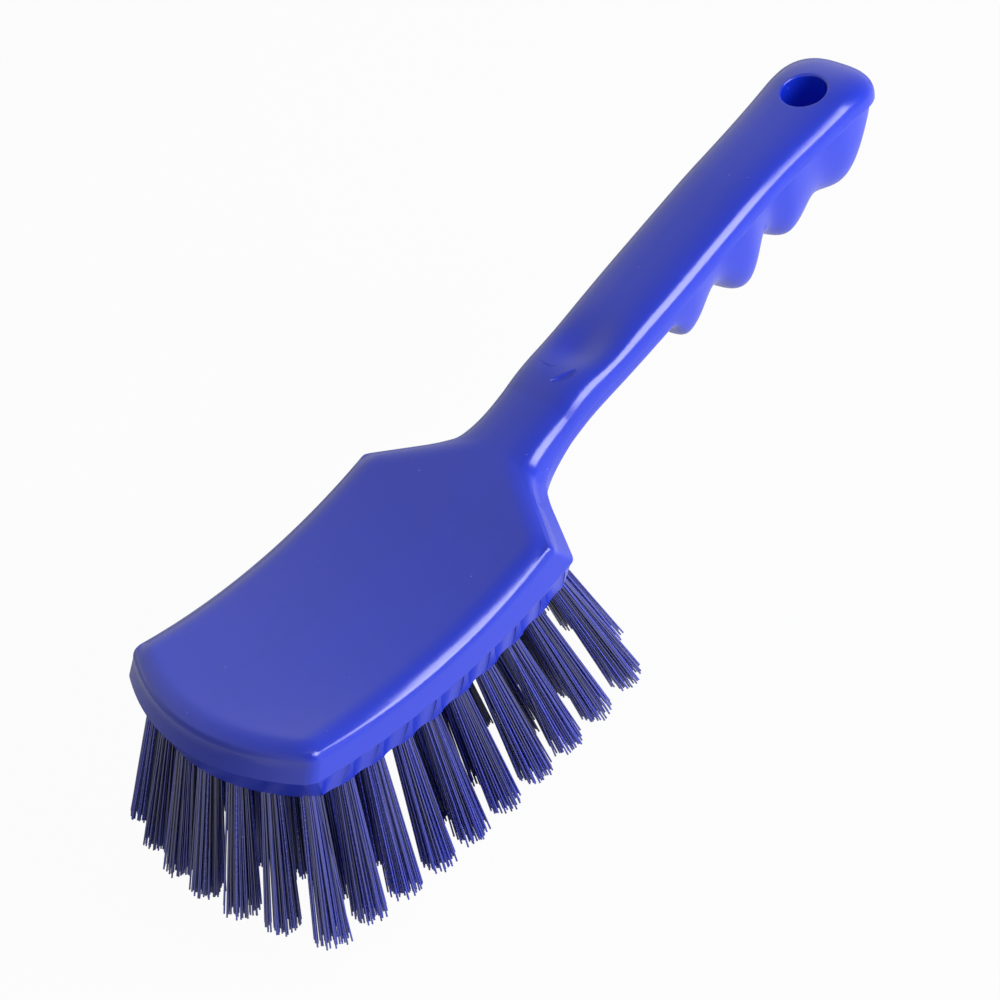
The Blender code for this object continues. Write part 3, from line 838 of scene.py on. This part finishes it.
def column_places(column):
    """Root point and direction of every tuft of one column, from the front."""
    middle = BLOCK_LENGTH / 2
    reach = column_ends(0)[1] - middle
    count = COLUMN_COUNTS[abs(column)]
    first, last = column_ends(abs(column))
    places = []
    for row in range(count):
        x = lerp(first, last, row / (count - 1))
        y = column_line(column, row / (count - 1))
        lean = Vector((
            math.tan(END_LEAN * (x - middle) / reach),
            math.tan(SIDE_LEAN * column / (len(COLUMN_COUNTS) - 1)),
            -1.0,
        ))
        places.append((Vector((x, y, underside(x))), lean.normalized()))
    return places


def all_columns():
    """Numbers of the columns, from the -y side to the +y side."""
    return range(1 - len(COLUMN_COUNTS), len(COLUMN_COUNTS))


def tuft_frame(root, direction):
    """Matrix that puts local z along a tuft, with local y across the block."""
    x_axis = Vector((0.0, 1.0, 0.0)).cross(direction).normalized()
    turn = Matrix((x_axis, direction.cross(x_axis), direction)).transposed().to_4x4()
    return Matrix.Translation(root) @ turn


# What is cut out of the moulding


def add_tube(bm, rings):
    """Closed body through a list of rings of points."""
    loops = bridge(bm, rings)
    bm.faces.new(loops[0])
    bm.faces.new(loops[-1])


def circle(radius, sides):
    """Corners of a regular polygon in the plane."""
    turns = [2 * math.pi * index / sides for index in range(sides)]
    return [(radius * math.cos(turn), radius * math.sin(turn)) for turn in turns]


def add_hanging_hole(bm):
    """Drill shape of the hanging hole, with a filleted mouth that follows the top."""
    radius = HANGING_HOLE_DIAMETER / 2
    profile = []
    for step in range(HOLE_FILLET_STEPS + 1):
        angle = lerp(math.pi / 2, FILLET_START, step / HOLE_FILLET_STEPS)
        out = radius + HOLE_FILLET * (1 - math.sin(angle))
        profile.append((out, HOLE_FILLET * (1 - math.cos(angle))))
    lift = profile[-1][1]
    profile.append((profile[-1][0] + HOLE_FILLET, lift - HOLE_FILLET * math.tan(FILLET_START)))

    def ring(around, height):
        corners = [(x + HANGING_HOLE_CENTRE, y) for x, y in circle(around, HANGING_HOLE_SIDES)]
        return [Vector((x, y, height(x, y))) for x, y in corners]

    def foot(x, y):
        return top_line(x) - END_CROWN_HEIGHT - CREST_DEPTHS[-1] - CUT_OVERRUN

    rings = [ring(radius, foot)]
    for around, drop in profile:
        rings.append(ring(around, lambda x, y: handle_top(x, y) - drop + lift / 2))
    rings.append([Vector((p.x, p.y, p.z + CUT_OVERRUN)) for p in rings[-1]])
    add_tube(bm, rings)


def add_sink_marks(bm):
    """Slim curved bodies that leave the sink marks at the thumb recess."""
    for ends, radius, lift in SINK_MARKS:
        near, pull, far = [Vector((x, y, 0.0)) for x, y in ends]
        rings = []
        for step in range(SINK_MARK_STEPS + 1):
            share = lerp(SINK_MARK_TAPER, 1 - SINK_MARK_TAPER, step / SINK_MARK_STEPS)
            centre = bezier(near, pull, far, share)
            swell = radius * math.sqrt(math.sin(math.pi * share))
            centre.z = handle_top(centre.x, centre.y) + RIDGE_RISE * ridge(centre.x) + lift
            along = (pull.lerp(far, share) - near.lerp(pull, share)).normalized()
            side = Vector((-along.y, along.x, 0.0))
            outline = circle(swell, SINK_MARK_SIDES)
            rings.append([centre + side * x + Vector((0.0, 0.0, y)) for x, y in outline])
        add_tube(bm, rings)


def add_tuft_holes(bm):
    """Drill shapes of all the tuft holes."""
    outline = circle(TUFT_HOLE_DIAMETER / 2, TUFT_HOLE_SIDES)
    for column in all_columns():
        for root, direction in column_places(column):
            place = tuft_frame(root, direction)
            ends = (-TUFT_HOLE_DEPTH, TUFT_HOLE_DIAMETER)
            add_tube(bm, [[place @ Vector((x, y, z)) for x, y in outline] for z in ends])


def add_rim_recesses(bm):
    """Half balls that leave the recesses in the rim between the tufts of the outer columns."""
    outer = len(COLUMN_COUNTS) - 1
    tilt = math.atan2(RIM_TAPER - LEDGE_WIDTH, RIM_HEIGHT - LEDGE_DROP)
    radii = Vector((RIM_RECESS_LENGTH / 2, RIM_RECESS_DEPTH, RIM_RECESS_HEIGHT))
    wall_growth = REAR_WALL_HEIGHT - FRONT_WALL_HEIGHT
    for side in (-1, 1):
        roots = [root for root, lean in column_places(side * outer)]
        for near, far in zip(roots, roots[1:]):
            x = (near.x + far.x) / 2
            share = rim_share(x)
            slope = (4 * DISH_DEPTH * (2 * share - 1) - wall_growth) / BLOCK_REACH
            y = side * (block_half_width(share) + SIDE_DRAFT - LEDGE_WIDTH)
            place = Vector((x, y, dish(share) - wall_height(share) - LEDGE_DROP))
            turn = Matrix.Rotation(-math.atan(slope), 4, "Y")
            turn = turn @ Matrix.Rotation(-side * tilt, 4, "X")
            made = bmesh.ops.create_uvsphere(
                bm, u_segments=RIM_RECESS_SEGMENTS, v_segments=RIM_RECESS_RINGS, radius=1.0,
                matrix=Matrix.Translation(place) @ turn @ Matrix.Diagonal(radii.to_4d()))
            ball = made["verts"]
            geometry = ball + [
                part for parts in (bm.edges, bm.faces) for part in parts if part.verts[0] in ball]
            upright = turn.to_3x3() @ Vector((0.0, 0.0, 1.0))
            cut = bmesh.ops.bisect_plane(
                bm, geom=geometry, plane_co=place, plane_no=upright, clear_outer=True)
            rim = [part for part in cut["geom_cut"] if isinstance(part, bmesh.types.BMEdge)]
            bmesh.ops.contextual_create(bm, geom=rim)


def cut_out(target, name, add_shapes):
    """Take shapes out of an object with an exact Boolean, and keep the result."""
    bm = bmesh.new()
    for add in add_shapes:
        add(bm)
    bmesh.ops.recalc_face_normals(bm, faces=bm.faces)
    cutter = add_object(name, to_mesh(name, bm))
    modifier = target.modifiers.new(name, "BOOLEAN")
    modifier.operation = "DIFFERENCE"
    modifier.solver = "EXACT"
    modifier.object = cutter
    settle(target)
    bpy.data.objects.remove(cutter)


def settle(item):
    """Turn an object's modifiers into its mesh."""
    bpy.context.view_layer.update()
    evaluated = item.evaluated_get(bpy.context.evaluated_depsgraph_get())
    mesh = bpy.data.meshes.new_from_object(evaluated)
    item.modifiers.clear()
    item.data = mesh


# Filaments


def trim_height(x, bristle_length):
    """Height of the convex surface that the bristles are trimmed to."""
    lowest = underside(BLOCK_LENGTH / 2) - bristle_length
    curve = lowest + TRIM_RADIUS - math.sqrt(TRIM_RADIUS ** 2 - (x - TRIM_LOWEST_PLACE) ** 2)
    return max(curve, lowest + TRIM_FLAT_DEPTH)


def filament_roots(radius, pitch):
    """Close-packed places of the filaments inside a circle."""
    roots = []
    steps = math.ceil(radius / pitch) + 1
    for row in range(-steps, steps + 1):
        for column in range(-steps, steps + 1):
            x = (column + row / 2) * pitch
            y = row * pitch * math.sqrt(3) / 2
            if math.hypot(x, y) <= radius:
                roots.append((x, y))
    return roots


def add_filament(verts, faces, root, tip, sag, radius):
    """One filament as a thin closed tube from root to tip, slightly bent."""
    axis = (tip - root).normalized()
    side = axis.orthogonal().normalized()
    up = axis.cross(side)
    base = len(verts)
    middle = (root + tip) / 2 + sag
    for step in range(FILAMENT_STEPS + 1):
        centre = bezier(root, middle, tip, step / FILAMENT_STEPS)
        for x, y in circle(1.0, FILAMENT_SIDES):
            verts.append(centre + (side * x + up * y) * radius)
    for step in range(FILAMENT_STEPS):
        low = base + step * FILAMENT_SIDES
        high = low + FILAMENT_SIDES
        for index in range(FILAMENT_SIDES):
            after = (index + 1) % FILAMENT_SIDES
            faces.append((low + index, low + after, high + after, high + index))
    faces.append(tuple(base + index for index in reversed(range(FILAMENT_SIDES))))
    faces.append(tuple(high + index for index in range(FILAMENT_SIDES)))


def tuft_column_mesh(name, column, sizes):
    """All the filaments of one column of tufts, each with its random tone, the inner ones darkened
    by painted shade.
    """
    chance = random.Random(sizes.seed + column * 101)
    radius = sizes.filament_diameter / 2
    root_radius = TUFT_HOLE_DIAMETER / 2 - radius - PLUG_CLEARANCE
    roots = filament_roots(root_radius, sizes.filament_pitch)
    verts, faces, tones_and_painted_shades, heights = [], [], [], []
    for root, direction in column_places(column):
        place = tuft_frame(root, direction)
        turn = Matrix.Rotation(chance.uniform(0, math.pi), 4, "Z")
        for x, y in roots:
            depth = 1 - (math.hypot(x, y) / root_radius) ** 2
            x += chance.gauss(0, ROOT_JITTER * sizes.filament_pitch)
            y += chance.gauss(0, ROOT_JITTER * sizes.filament_pitch)
            foot = place @ turn @ Vector((x, y, -FILAMENT_ROOT_DEPTH))
            spread = sizes.tip_spread / root_radius
            wander = sizes.tip_wander * (LOOSE_GAIN if chance.random() < LOOSE_SHARE else 1.0)
            far = turn @ Vector((x * spread, y * spread, 0.0))
            far.y *= SPREAD_ACROSS
            far += Vector((chance.gauss(0, wander), chance.gauss(0, wander), sizes.bristle_length))
            heading = place @ far - foot
            tip = foot
            for _ in range(TRIM_PASSES):
                target = trim_height(tip.x, sizes.bristle_length)
                tip = foot + heading * ((target - foot.z) / heading.z)
            short = sizes.tip_unevenness * chance.random() ** 2
            tip -= heading.normalized() * (short + radius)
            tip.y = clamp(tip.y, -TIP_REACH, TIP_REACH)
            bend = Vector([chance.gauss(0, sizes.tip_wander / 2) for axis in range(3)])
            first = len(verts)
            add_filament(verts, faces, foot, tip, bend, radius)
            # Painted shade: the filament's random tone is darkened the nearer it stands to the
            # middle of its tuft
            tones_and_painted_shades += [chance.random() * (1 - INNER_PAINTED_SHADE * depth)] * (len(verts) - first)
            heights += [(vert - foot).length / sizes.bristle_length for vert in verts[first:]]
    mesh = bpy.data.meshes.new(name)
    mesh.from_pydata(verts, [], faces)
    for label, values in (("shade", tones_and_painted_shades), ("reach", heights)):
        attribute = mesh.attributes.new(label, "FLOAT", "POINT")
        attribute.data.foreach_set("value", values)
    return mesh


# Materials, with the scales of their textures per metre

# Moulded plastic: flow marks, grains of dust in patches, scratches, orange peel
FLOW_SCALE = 90.0
FLOW_STRETCH = (0.25, 1.0, 1.0)
FLOW_GAINS = (0.93, 1.05)
FLOW_ROUGHNESS = 0.06
FLOW_RELIEF = 0.6
DUST_SCALE = 260.0
DUST_RADIUS = 0.045
DUST_PATCH_SCALE = 420.0
DUST_PATCH_LIMIT = 0.60
DUST_SHARE = 0.5
DUST_COLOUR = (0.45, 0.47, 0.75, 1.0)
SCRATCH_SCALE = 1500.0
SCRATCH_STRETCH = (0.08, 1.0, 1.0)
SCRATCH_LIMIT = 0.66
SCRATCH_RELIEF = 0.10
SCUFF_PATCH_SCALE = 35.0
SCUFF_ROUGHNESS = 0.10
PEEL_SCALE = 650.0
PEEL_RELIEF = 0.75

# Filaments: gains of their colour from dark to light, the lighter tips and the grain
FILAMENT_TONES = ((0.0, 0.25), (0.4, 1.0), (1.0, 1.9))
SHADE_ROUGHNESS = 0.08
TIP_LIGHTENING_START = 0.75
TIP_LIGHTENING_SHARE = 0.25
TIP_LIGHTENING_GAIN = 2.2
GRAIN_SCALE = 1800.0
GRAIN_ROUGHNESS = 0.12

# Floor
FLOOR_GRAIN_SCALE = 40.0
FLOOR_GRAIN_GAIN = 0.985
FLOOR_ROUGHNESS = 0.9
WHITE = (1.0, 1.0, 1.0, 1.0)


class Term:
    """One output of a shader node, ready for sums. Each operation adds a Math node."""

    def __init__(self, graph, socket):
        self.graph = graph
        self.socket = socket

    def maths(self, operation, *others):
        """Math node of this value and others."""
        return self.graph.node("ShaderNodeMath", {"operation": operation}, [self, *others])

    def __add__(self, other):
        return self.maths("ADD", other)

    def __sub__(self, other):
        return self.maths("SUBTRACT", other)

    def __rsub__(self, other):
        return self.graph.node("ShaderNodeMath", {"operation": "SUBTRACT"}, [other, self])

    def __mul__(self, other):
        return self.maths("MULTIPLY", other)

    def __gt__(self, other):
        return self.maths("GREATER_THAN", other)

    def __lt__(self, other):
        return self.maths("LESS_THAN", other)

    __radd__ = __add__
    __rmul__ = __mul__


class Graph:
    """Node tree of a material or a world, with its shader."""

    def __init__(self, owner, shader="Principled BSDF", output="Material Output"):
        owner.use_nodes = True
        self.owner = owner
        self.tree = owner.node_tree
        self.shader = self.tree.nodes[shader]
        self.output = self.tree.nodes[output]

    def node(self, kind, settings=None, inputs=None, output=0):
        """Make a node: its settings first, then its sockets' values or links."""
        made = self.tree.nodes.new(kind)
        for key, value in (settings or {}).items():
            if key == "stops":
                self.set_stops(made.color_ramp, value)
            else:
                setattr(made, key, value)
        pairs = inputs.items() if isinstance(inputs, dict) else enumerate(inputs or [])
        for key, value in pairs:
            self.feed(made.inputs[key], value)
        return Term(self, made.outputs[output])

    def feed(self, socket, value):
        """Link a term to a socket, or set the socket's own value."""
        if isinstance(value, Term):
            self.tree.links.new(value.socket, socket)
        else:
            socket.default_value = value

    def set_stops(self, ramp, stops):
        """Give a colour ramp its stops, each (place, colour)."""
        while len(ramp.elements) < len(stops):
            ramp.elements.new(1.0)
        for element, (place, colour) in zip(ramp.elements, stops):
            element.position = place
            element.color = (*colour[:3], 1.0)

    def coordinates(self, kind="Object"):
        """Coordinates of the point that is shaded."""
        return self.node("ShaderNodeTexCoord", output=kind)

    def stretched(self, scale):
        """Coordinates that make a texture longer where the scale is under 1."""
        return self.node("ShaderNodeMapping", {}, {"Vector": self.coordinates(), "Scale": scale})

    def noise(self, scale, detail=2.0, roughness=0.5, vector=None):
        """Noise texture in metres."""
        inputs = {"Scale": scale, "Detail": detail, "Roughness": roughness}
        inputs["Vector"] = vector or self.coordinates()
        return self.node("ShaderNodeTexNoise", {}, inputs)

    def vectors(self, operation, *vectors, output=0):
        """Vector Math node of one or two vectors."""
        return self.node("ShaderNodeVectorMath", {"operation": operation}, vectors, output)

    def share_between(self, value, start, end, least=0.0):
        """Share that grows from the least to 1 while a value goes from start to end."""
        inputs = {"Value": value, "From Min": start, "From Max": end, "To Min": least}
        return self.node("ShaderNodeMapRange", {}, inputs)

    def mix_colour(self, factor, first, second):
        """Mix of two colours."""
        inputs = {0: factor, 6: first, 7: second}
        return self.node("ShaderNodeMix", {"data_type": "RGBA"}, inputs, 2)

    def relief(self, height, strength, distance):
        """Normal bent by a height."""
        inputs = {"Strength": strength, "Distance": distance, "Height": height}
        return self.node("ShaderNodeBump", {}, inputs)

    def ray(self, kind):
        """Whether the ray that meets the surface is of a kind."""
        return self.node("ShaderNodeLightPath", output=kind)

    def seen(self):
        """Whether the camera sees the surface, straight or through something clear."""
        return self.ray("Is Camera Ray").maths("MAXIMUM", self.ray("Is Transmission Ray"))

    def set(self, **sockets):
        """Feed the shader's sockets, named with underscores for spaces."""
        for name, value in sockets.items():
            self.feed(self.shader.inputs[name.replace("_", " ")], value)


def opaque(colour, gain=1.0):
    """Colour with alpha 1, lightened or darkened by a gain."""
    return (*[min(channel * gain, 1.0) for channel in colour[:3]], 1.0)


def moulded_plastic(finishes):
    """Glossy moulded plastic: faint flow marks, fine orange peel, dust and scuffs."""
    graph = Graph(bpy.data.materials.new("moulded_plastic"))
    flow = graph.noise(
        FLOW_SCALE, detail=3.0, roughness=0.55, vector=graph.stretched(FLOW_STRETCH))
    colour = graph.mix_colour(flow, *[opaque(finishes.back_colour, gain) for gain in FLOW_GAINS])
    cells = {"Vector": graph.coordinates(), "Scale": DUST_SCALE}
    specks = graph.node("ShaderNodeTexVoronoi", {"feature": "F1"}, cells)
    patches = graph.noise(DUST_PATCH_SCALE, detail=1.0)
    dust = (specks < DUST_RADIUS) * (patches > DUST_PATCH_LIMIT)
    colour = graph.mix_colour(dust * DUST_SHARE, colour, DUST_COLOUR)
    scratch = graph.noise(SCRATCH_SCALE, roughness=0.6, vector=graph.stretched(SCRATCH_STRETCH))
    scuffs = (scratch > SCRATCH_LIMIT) * graph.noise(SCUFF_PATCH_SCALE)
    gloss_loss = flow * FLOW_ROUGHNESS + scuffs * SCUFF_ROUGHNESS
    roughness = gloss_loss + (finishes.back_roughness - FLOW_ROUGHNESS / 2)
    height = graph.noise(PEEL_SCALE) * PEEL_RELIEF + flow * FLOW_RELIEF + scratch * SCRATCH_RELIEF
    normal = graph.relief(height, strength=0.05, distance=0.0004)
    graph.set(Base_Color=colour, Roughness=roughness, Normal=normal)
    graph.set(IOR=1.52, Specular_IOR_Level=0.7)
    return graph.owner


def filament_plastic(finishes):
    """Drawn filaments: each its own tone, the inner ones with painted shade, lighter towards the
    tips.
    """
    graph = Graph(bpy.data.materials.new("filament_plastic"))
    shade, reach = [
        graph.node("ShaderNodeAttribute", {"attribute_name": name}, output="Fac")
        for name in ("shade", "reach")]
    stops = [(place, opaque(finishes.filament_colour, gain)) for place, gain in FILAMENT_TONES]
    tone = graph.node("ShaderNodeValToRGB", {"stops": stops}, [shade])
    # Colour lightened towards the tips
    towards_tip = graph.share_between(reach, TIP_LIGHTENING_START, 1.0) * TIP_LIGHTENING_SHARE
    colour = graph.mix_colour(towards_tip, tone, opaque(finishes.filament_colour, TIP_LIGHTENING_GAIN))
    grain = graph.noise(GRAIN_SCALE)
    gloss_loss = grain * GRAIN_ROUGHNESS + shade * SHADE_ROUGHNESS
    roughness = gloss_loss + (finishes.filament_roughness - SHADE_ROUGHNESS)
    normal = graph.relief(grain, strength=0.03, distance=0.00005)
    graph.set(Base_Color=colour, Roughness=roughness, Normal=normal)
    graph.set(IOR=1.6, Specular_IOR_Level=1.0)
    return graph.owner


def floor_paint(stage):
    """Pale floor that the camera sees as white, with the brush's shadow, and that reflections see
    with painted light on the near side and a painted shadow under the block.
    """
    graph = Graph(bpy.data.materials.new("pale_floor"))
    colour = opaque(stage.floor_colour)
    grain = graph.noise(FLOOR_GRAIN_SCALE, detail=3.0)
    paint = graph.mix_colour(grain, opaque(colour, FLOOR_GRAIN_GAIN), colour)
    graph.set(Base_Color=paint, Roughness=FLOOR_ROUGHNESS)
    place = graph.coordinates()
    near = graph.vectors("DOT_PRODUCT", place, (0.0, -1.0, 0.0), output="Value")
    painted_near_light = graph.share_between(near, FLOOR_PAINTED_LIGHT_START, FLOOR_PAINTED_LIGHT_END, FLOOR_FAR_SHARE)
    around = graph.vectors("SUBTRACT", place, FOOTPRINT_CENTRE)
    around = graph.vectors("MULTIPLY", around, FOOTPRINT_SCALE)
    around = graph.vectors("LENGTH", around, output="Value")
    outside_painted_shadow = graph.share_between(around, FOOTPRINT_START, FOOTPRINT_END, FOOTPRINT_PAINTED_SHADOW)
    # Painted light and shadow in reflections: the floor glows brighter on the near side and dark
    # under the block
    mirrored = graph.ray("Is Glossy Ray") * painted_near_light * outside_painted_shadow
    share = graph.seen().maths("MAXIMUM", mirrored) * stage.floor_glow
    glow = graph.node("ShaderNodeEmission", {}, {"Color": WHITE, "Strength": 1.0})
    paint = Term(graph, graph.shader.outputs[0])
    mixed = graph.node("ShaderNodeMixShader", {}, [share, paint, glow])
    graph.feed(graph.output.inputs["Surface"], mixed)
    return graph.owner


def pale_surroundings(stage):
    """World: white where it is seen, with a darker ceiling and end wall in reflections."""
    graph = Graph(bpy.data.worlds.new("pale_surroundings"), "Background", "World Output")
    direction = graph.coordinates("Generated")
    zones = []
    for middle, edge, full, darkness in DARK_ZONES:
        towards = graph.vectors("DOT_PRODUCT", direction, middle, output="Value")
        zones.append(1 - graph.share_between(towards, edge, full) * darkness)
    seen = graph.seen()
    mirrored = graph.ray("Is Glossy Ray")
    other = 1 - seen.maths("MAXIMUM", mirrored)
    strength = seen + mirrored * (zones[0] * zones[1]) + other * stage.world_strength
    graph.set(Color=WHITE, Strength=strength)
    return graph.owner


# Objects


def drawing_origin(sizes):
    """Where the frame puts the drawing frame's origin."""
    low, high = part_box("brush_back")
    x = low.x + FRONT_DRAFT + FRONT_BOW
    z = sizes.bristle_length - underside(BLOCK_LENGTH / 2) - TRIM_FLAT_DEPTH
    return Vector((x, 0.0, z))


def add_piece(name, mesh, material, nodes, sizes):
    """Object at the drawing's place, riding on the brush in place of its CAD nodes."""
    mesh.transform(Matrix.Translation(drawing_origin(sizes)))
    mesh.materials.clear()
    mesh.materials.append(material)
    piece = add_object(name, mesh)
    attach(piece, "root")
    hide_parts(*nodes)
    return piece


def shade(piece, sharp_angle):
    """Smooth shading, but for the edges that turn by more than an angle."""
    piece.data.shade_smooth()
    piece.data.set_sharp_from_angle(angle=sharp_angle)


class ScrubBrushOperator:
    """What the operators share."""

    bl_options = {"REGISTER", "UNDO"}


class SCRUB_OT_moulding(ScrubBrushOperator, bpy.types.Operator):
    """Make the moulded block, neck and handle"""

    bl_idname = "scrub.moulding"
    bl_label = "Moulded Back"

    def execute(self, context):
        settings = context.scene.scrub_brush
        blank = add_object("moulding_blank", moulding_mesh(settings.sizes))
        cut_out(blank, "recesses", [add_rim_recesses])
        cut_out(blank, "drilled_holes", [add_hanging_hole, add_tuft_holes, add_sink_marks])
        mesh = blank.data
        bpy.data.objects.remove(blank)
        material = moulded_plastic(settings.finishes)
        piece = add_piece(
            "moulded_back", mesh, material, ["brush_back"], settings.sizes)
        shade(piece, MOULDING_SHARP_ANGLE)
        return {"FINISHED"}


class SCRUB_OT_tufts(ScrubBrushOperator, bpy.types.Operator):
    """Make the bristle tufts, one object for each column"""

    bl_idname = "scrub.tufts"
    bl_label = "Bristle Tufts"

    def execute(self, context):
        settings = context.scene.scrub_brush
        material = filament_plastic(settings.finishes)
        for column in all_columns():
            number = column + len(COLUMN_COUNTS)
            name = f"tuft_column_{number}"
            mesh = tuft_column_mesh(name, column, settings.sizes)
            nodes = [f"tuft_{number}_{row + 1:02d}" for row in range(COLUMN_COUNTS[abs(column)])]
            piece = add_piece(name, mesh, material, nodes, settings.sizes)
            shade(piece, FILAMENT_SHARP_ANGLE)
        return {"FINISHED"}


def view_axes():
    """Right, up and backward directions of the photograph's camera."""
    azimuth, elevation, roll = CAMERA_AZIMUTH, CAMERA_ELEVATION, CAMERA_ROLL
    back = Vector((
        math.sin(azimuth) * math.cos(elevation),
        -math.cos(azimuth) * math.cos(elevation),
        math.sin(elevation),
    ))
    right = (-back).cross(Vector((0.0, 0.0, 1.0))).normalized()
    up = right.cross(-back)
    rolled_right = right * math.cos(roll) + up * math.sin(roll)
    rolled_up = up * math.cos(roll) - right * math.sin(roll)
    return rolled_right, rolled_up, back


def add_camera(scene, origin):
    """Camera at the photograph's viewing angle."""
    right, up, back = view_axes()
    data = bpy.data.cameras.new("photo_camera")
    data.sensor_width = SENSOR_WIDTH
    data.lens = FOCAL_PIXELS * SENSOR_WIDTH / FRAME_PIXELS
    data.clip_start = CAMERA_DISTANCE * CLIP_START_SHARE
    data.clip_end = CAMERA_DISTANCE * CLIP_END_SHARE
    pixel = CAMERA_DISTANCE / FOCAL_PIXELS
    pivot = origin + Vector((BLOCK_LENGTH / 2, 0.0, 0.0))
    eye = pivot + back * CAMERA_DISTANCE
    eye -= right * SHIFT_RIGHT_PIXELS * pixel
    eye -= up * SHIFT_UP_PIXELS * pixel
    camera = add_object("photo_camera", data)
    camera.matrix_world = Matrix.Translation(eye) @ Matrix((right, up, back)).transposed().to_4x4()
    scene.camera = camera


def add_lamp(name, place, target, size, power):
    """Soft rectangular lamp that faces a target."""
    data = bpy.data.lights.new(name, "AREA")
    data.shape = "RECTANGLE"
    data.size, data.size_y = size
    data.energy = power
    lamp = add_object(name, data)
    lamp.location = place
    lamp.rotation_euler = (target - place).to_track_quat("-Z", "Y").to_euler()
    return lamp


class SCRUB_OT_stage(ScrubBrushOperator, bpy.types.Operator):
    """Make the floor, the soft lights and the photograph's camera"""

    bl_idname = "scrub.stage"
    bl_label = "Stage"

    def execute(self, context):
        settings = context.scene.scrub_brush
        stage = settings.stage
        scene = context.scene
        scene.view_settings.view_transform = "Standard"
        origin = drawing_origin(settings.sizes)
        add_camera(scene, origin)
        bm = bmesh.new()
        bmesh.ops.create_grid(
            bm, x_segments=FLOOR_DIVISIONS, y_segments=FLOOR_DIVISIONS, size=stage.floor_half_size)
        floor = add_object("floor", to_mesh("floor", bm))
        floor.data.materials.append(floor_paint(stage))
        middle = Vector((0.0, 0.0, origin.z))
        for name, direction, distance, size, hidden_from in LAMPS:
            place = middle + direction.normalized() * distance
            lamp = add_lamp(name, place, middle, size, getattr(stage, f"{name}_power"))
            setattr(lamp, hidden_from, False)
        scene.world = pale_surroundings(stage)
        return {"FINISHED"}


class SCRUB_PT_panel(bpy.types.Panel):
    """Sizes, finishes and the buttons that make the brush"""

    bl_label = "Scrub Brush"
    bl_idname = "SCRUB_PT_panel"
    bl_space_type = "VIEW_3D"
    bl_region_type = "UI"
    bl_category = "Scrub Brush"

    def draw(self, context):
        settings = context.scene.scrub_brush
        for group in (settings.sizes, settings.finishes, settings.stage):
            box = self.layout.box()
            for name in group.__annotations__:
                box.prop(group, name)
        for operator in OPERATORS:
            self.layout.operator(operator.bl_idname)


OPERATORS = (SCRUB_OT_moulding, SCRUB_OT_tufts, SCRUB_OT_stage)
CLASSES = (BrushSizes, BrushFinishes, BrushStage, BrushSettings, *OPERATORS, SCRUB_PT_panel)


def register():
    """Register the classes and hang the settings on the scene."""
    for cls in CLASSES:
        bpy.utils.register_class(cls)
    bpy.types.Scene.scrub_brush = PointerProperty(type=BrushSettings)


def unregister():
    """Undo what register did."""
    del bpy.types.Scene.scrub_brush
    for cls in reversed(CLASSES):
        bpy.utils.unregister_class(cls)


def main():
    """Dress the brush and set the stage."""
    register()
    bpy.ops.scrub.moulding()
    bpy.ops.scrub.tufts()
    bpy.ops.scrub.stage()


if __name__ == "__main__":
    main()
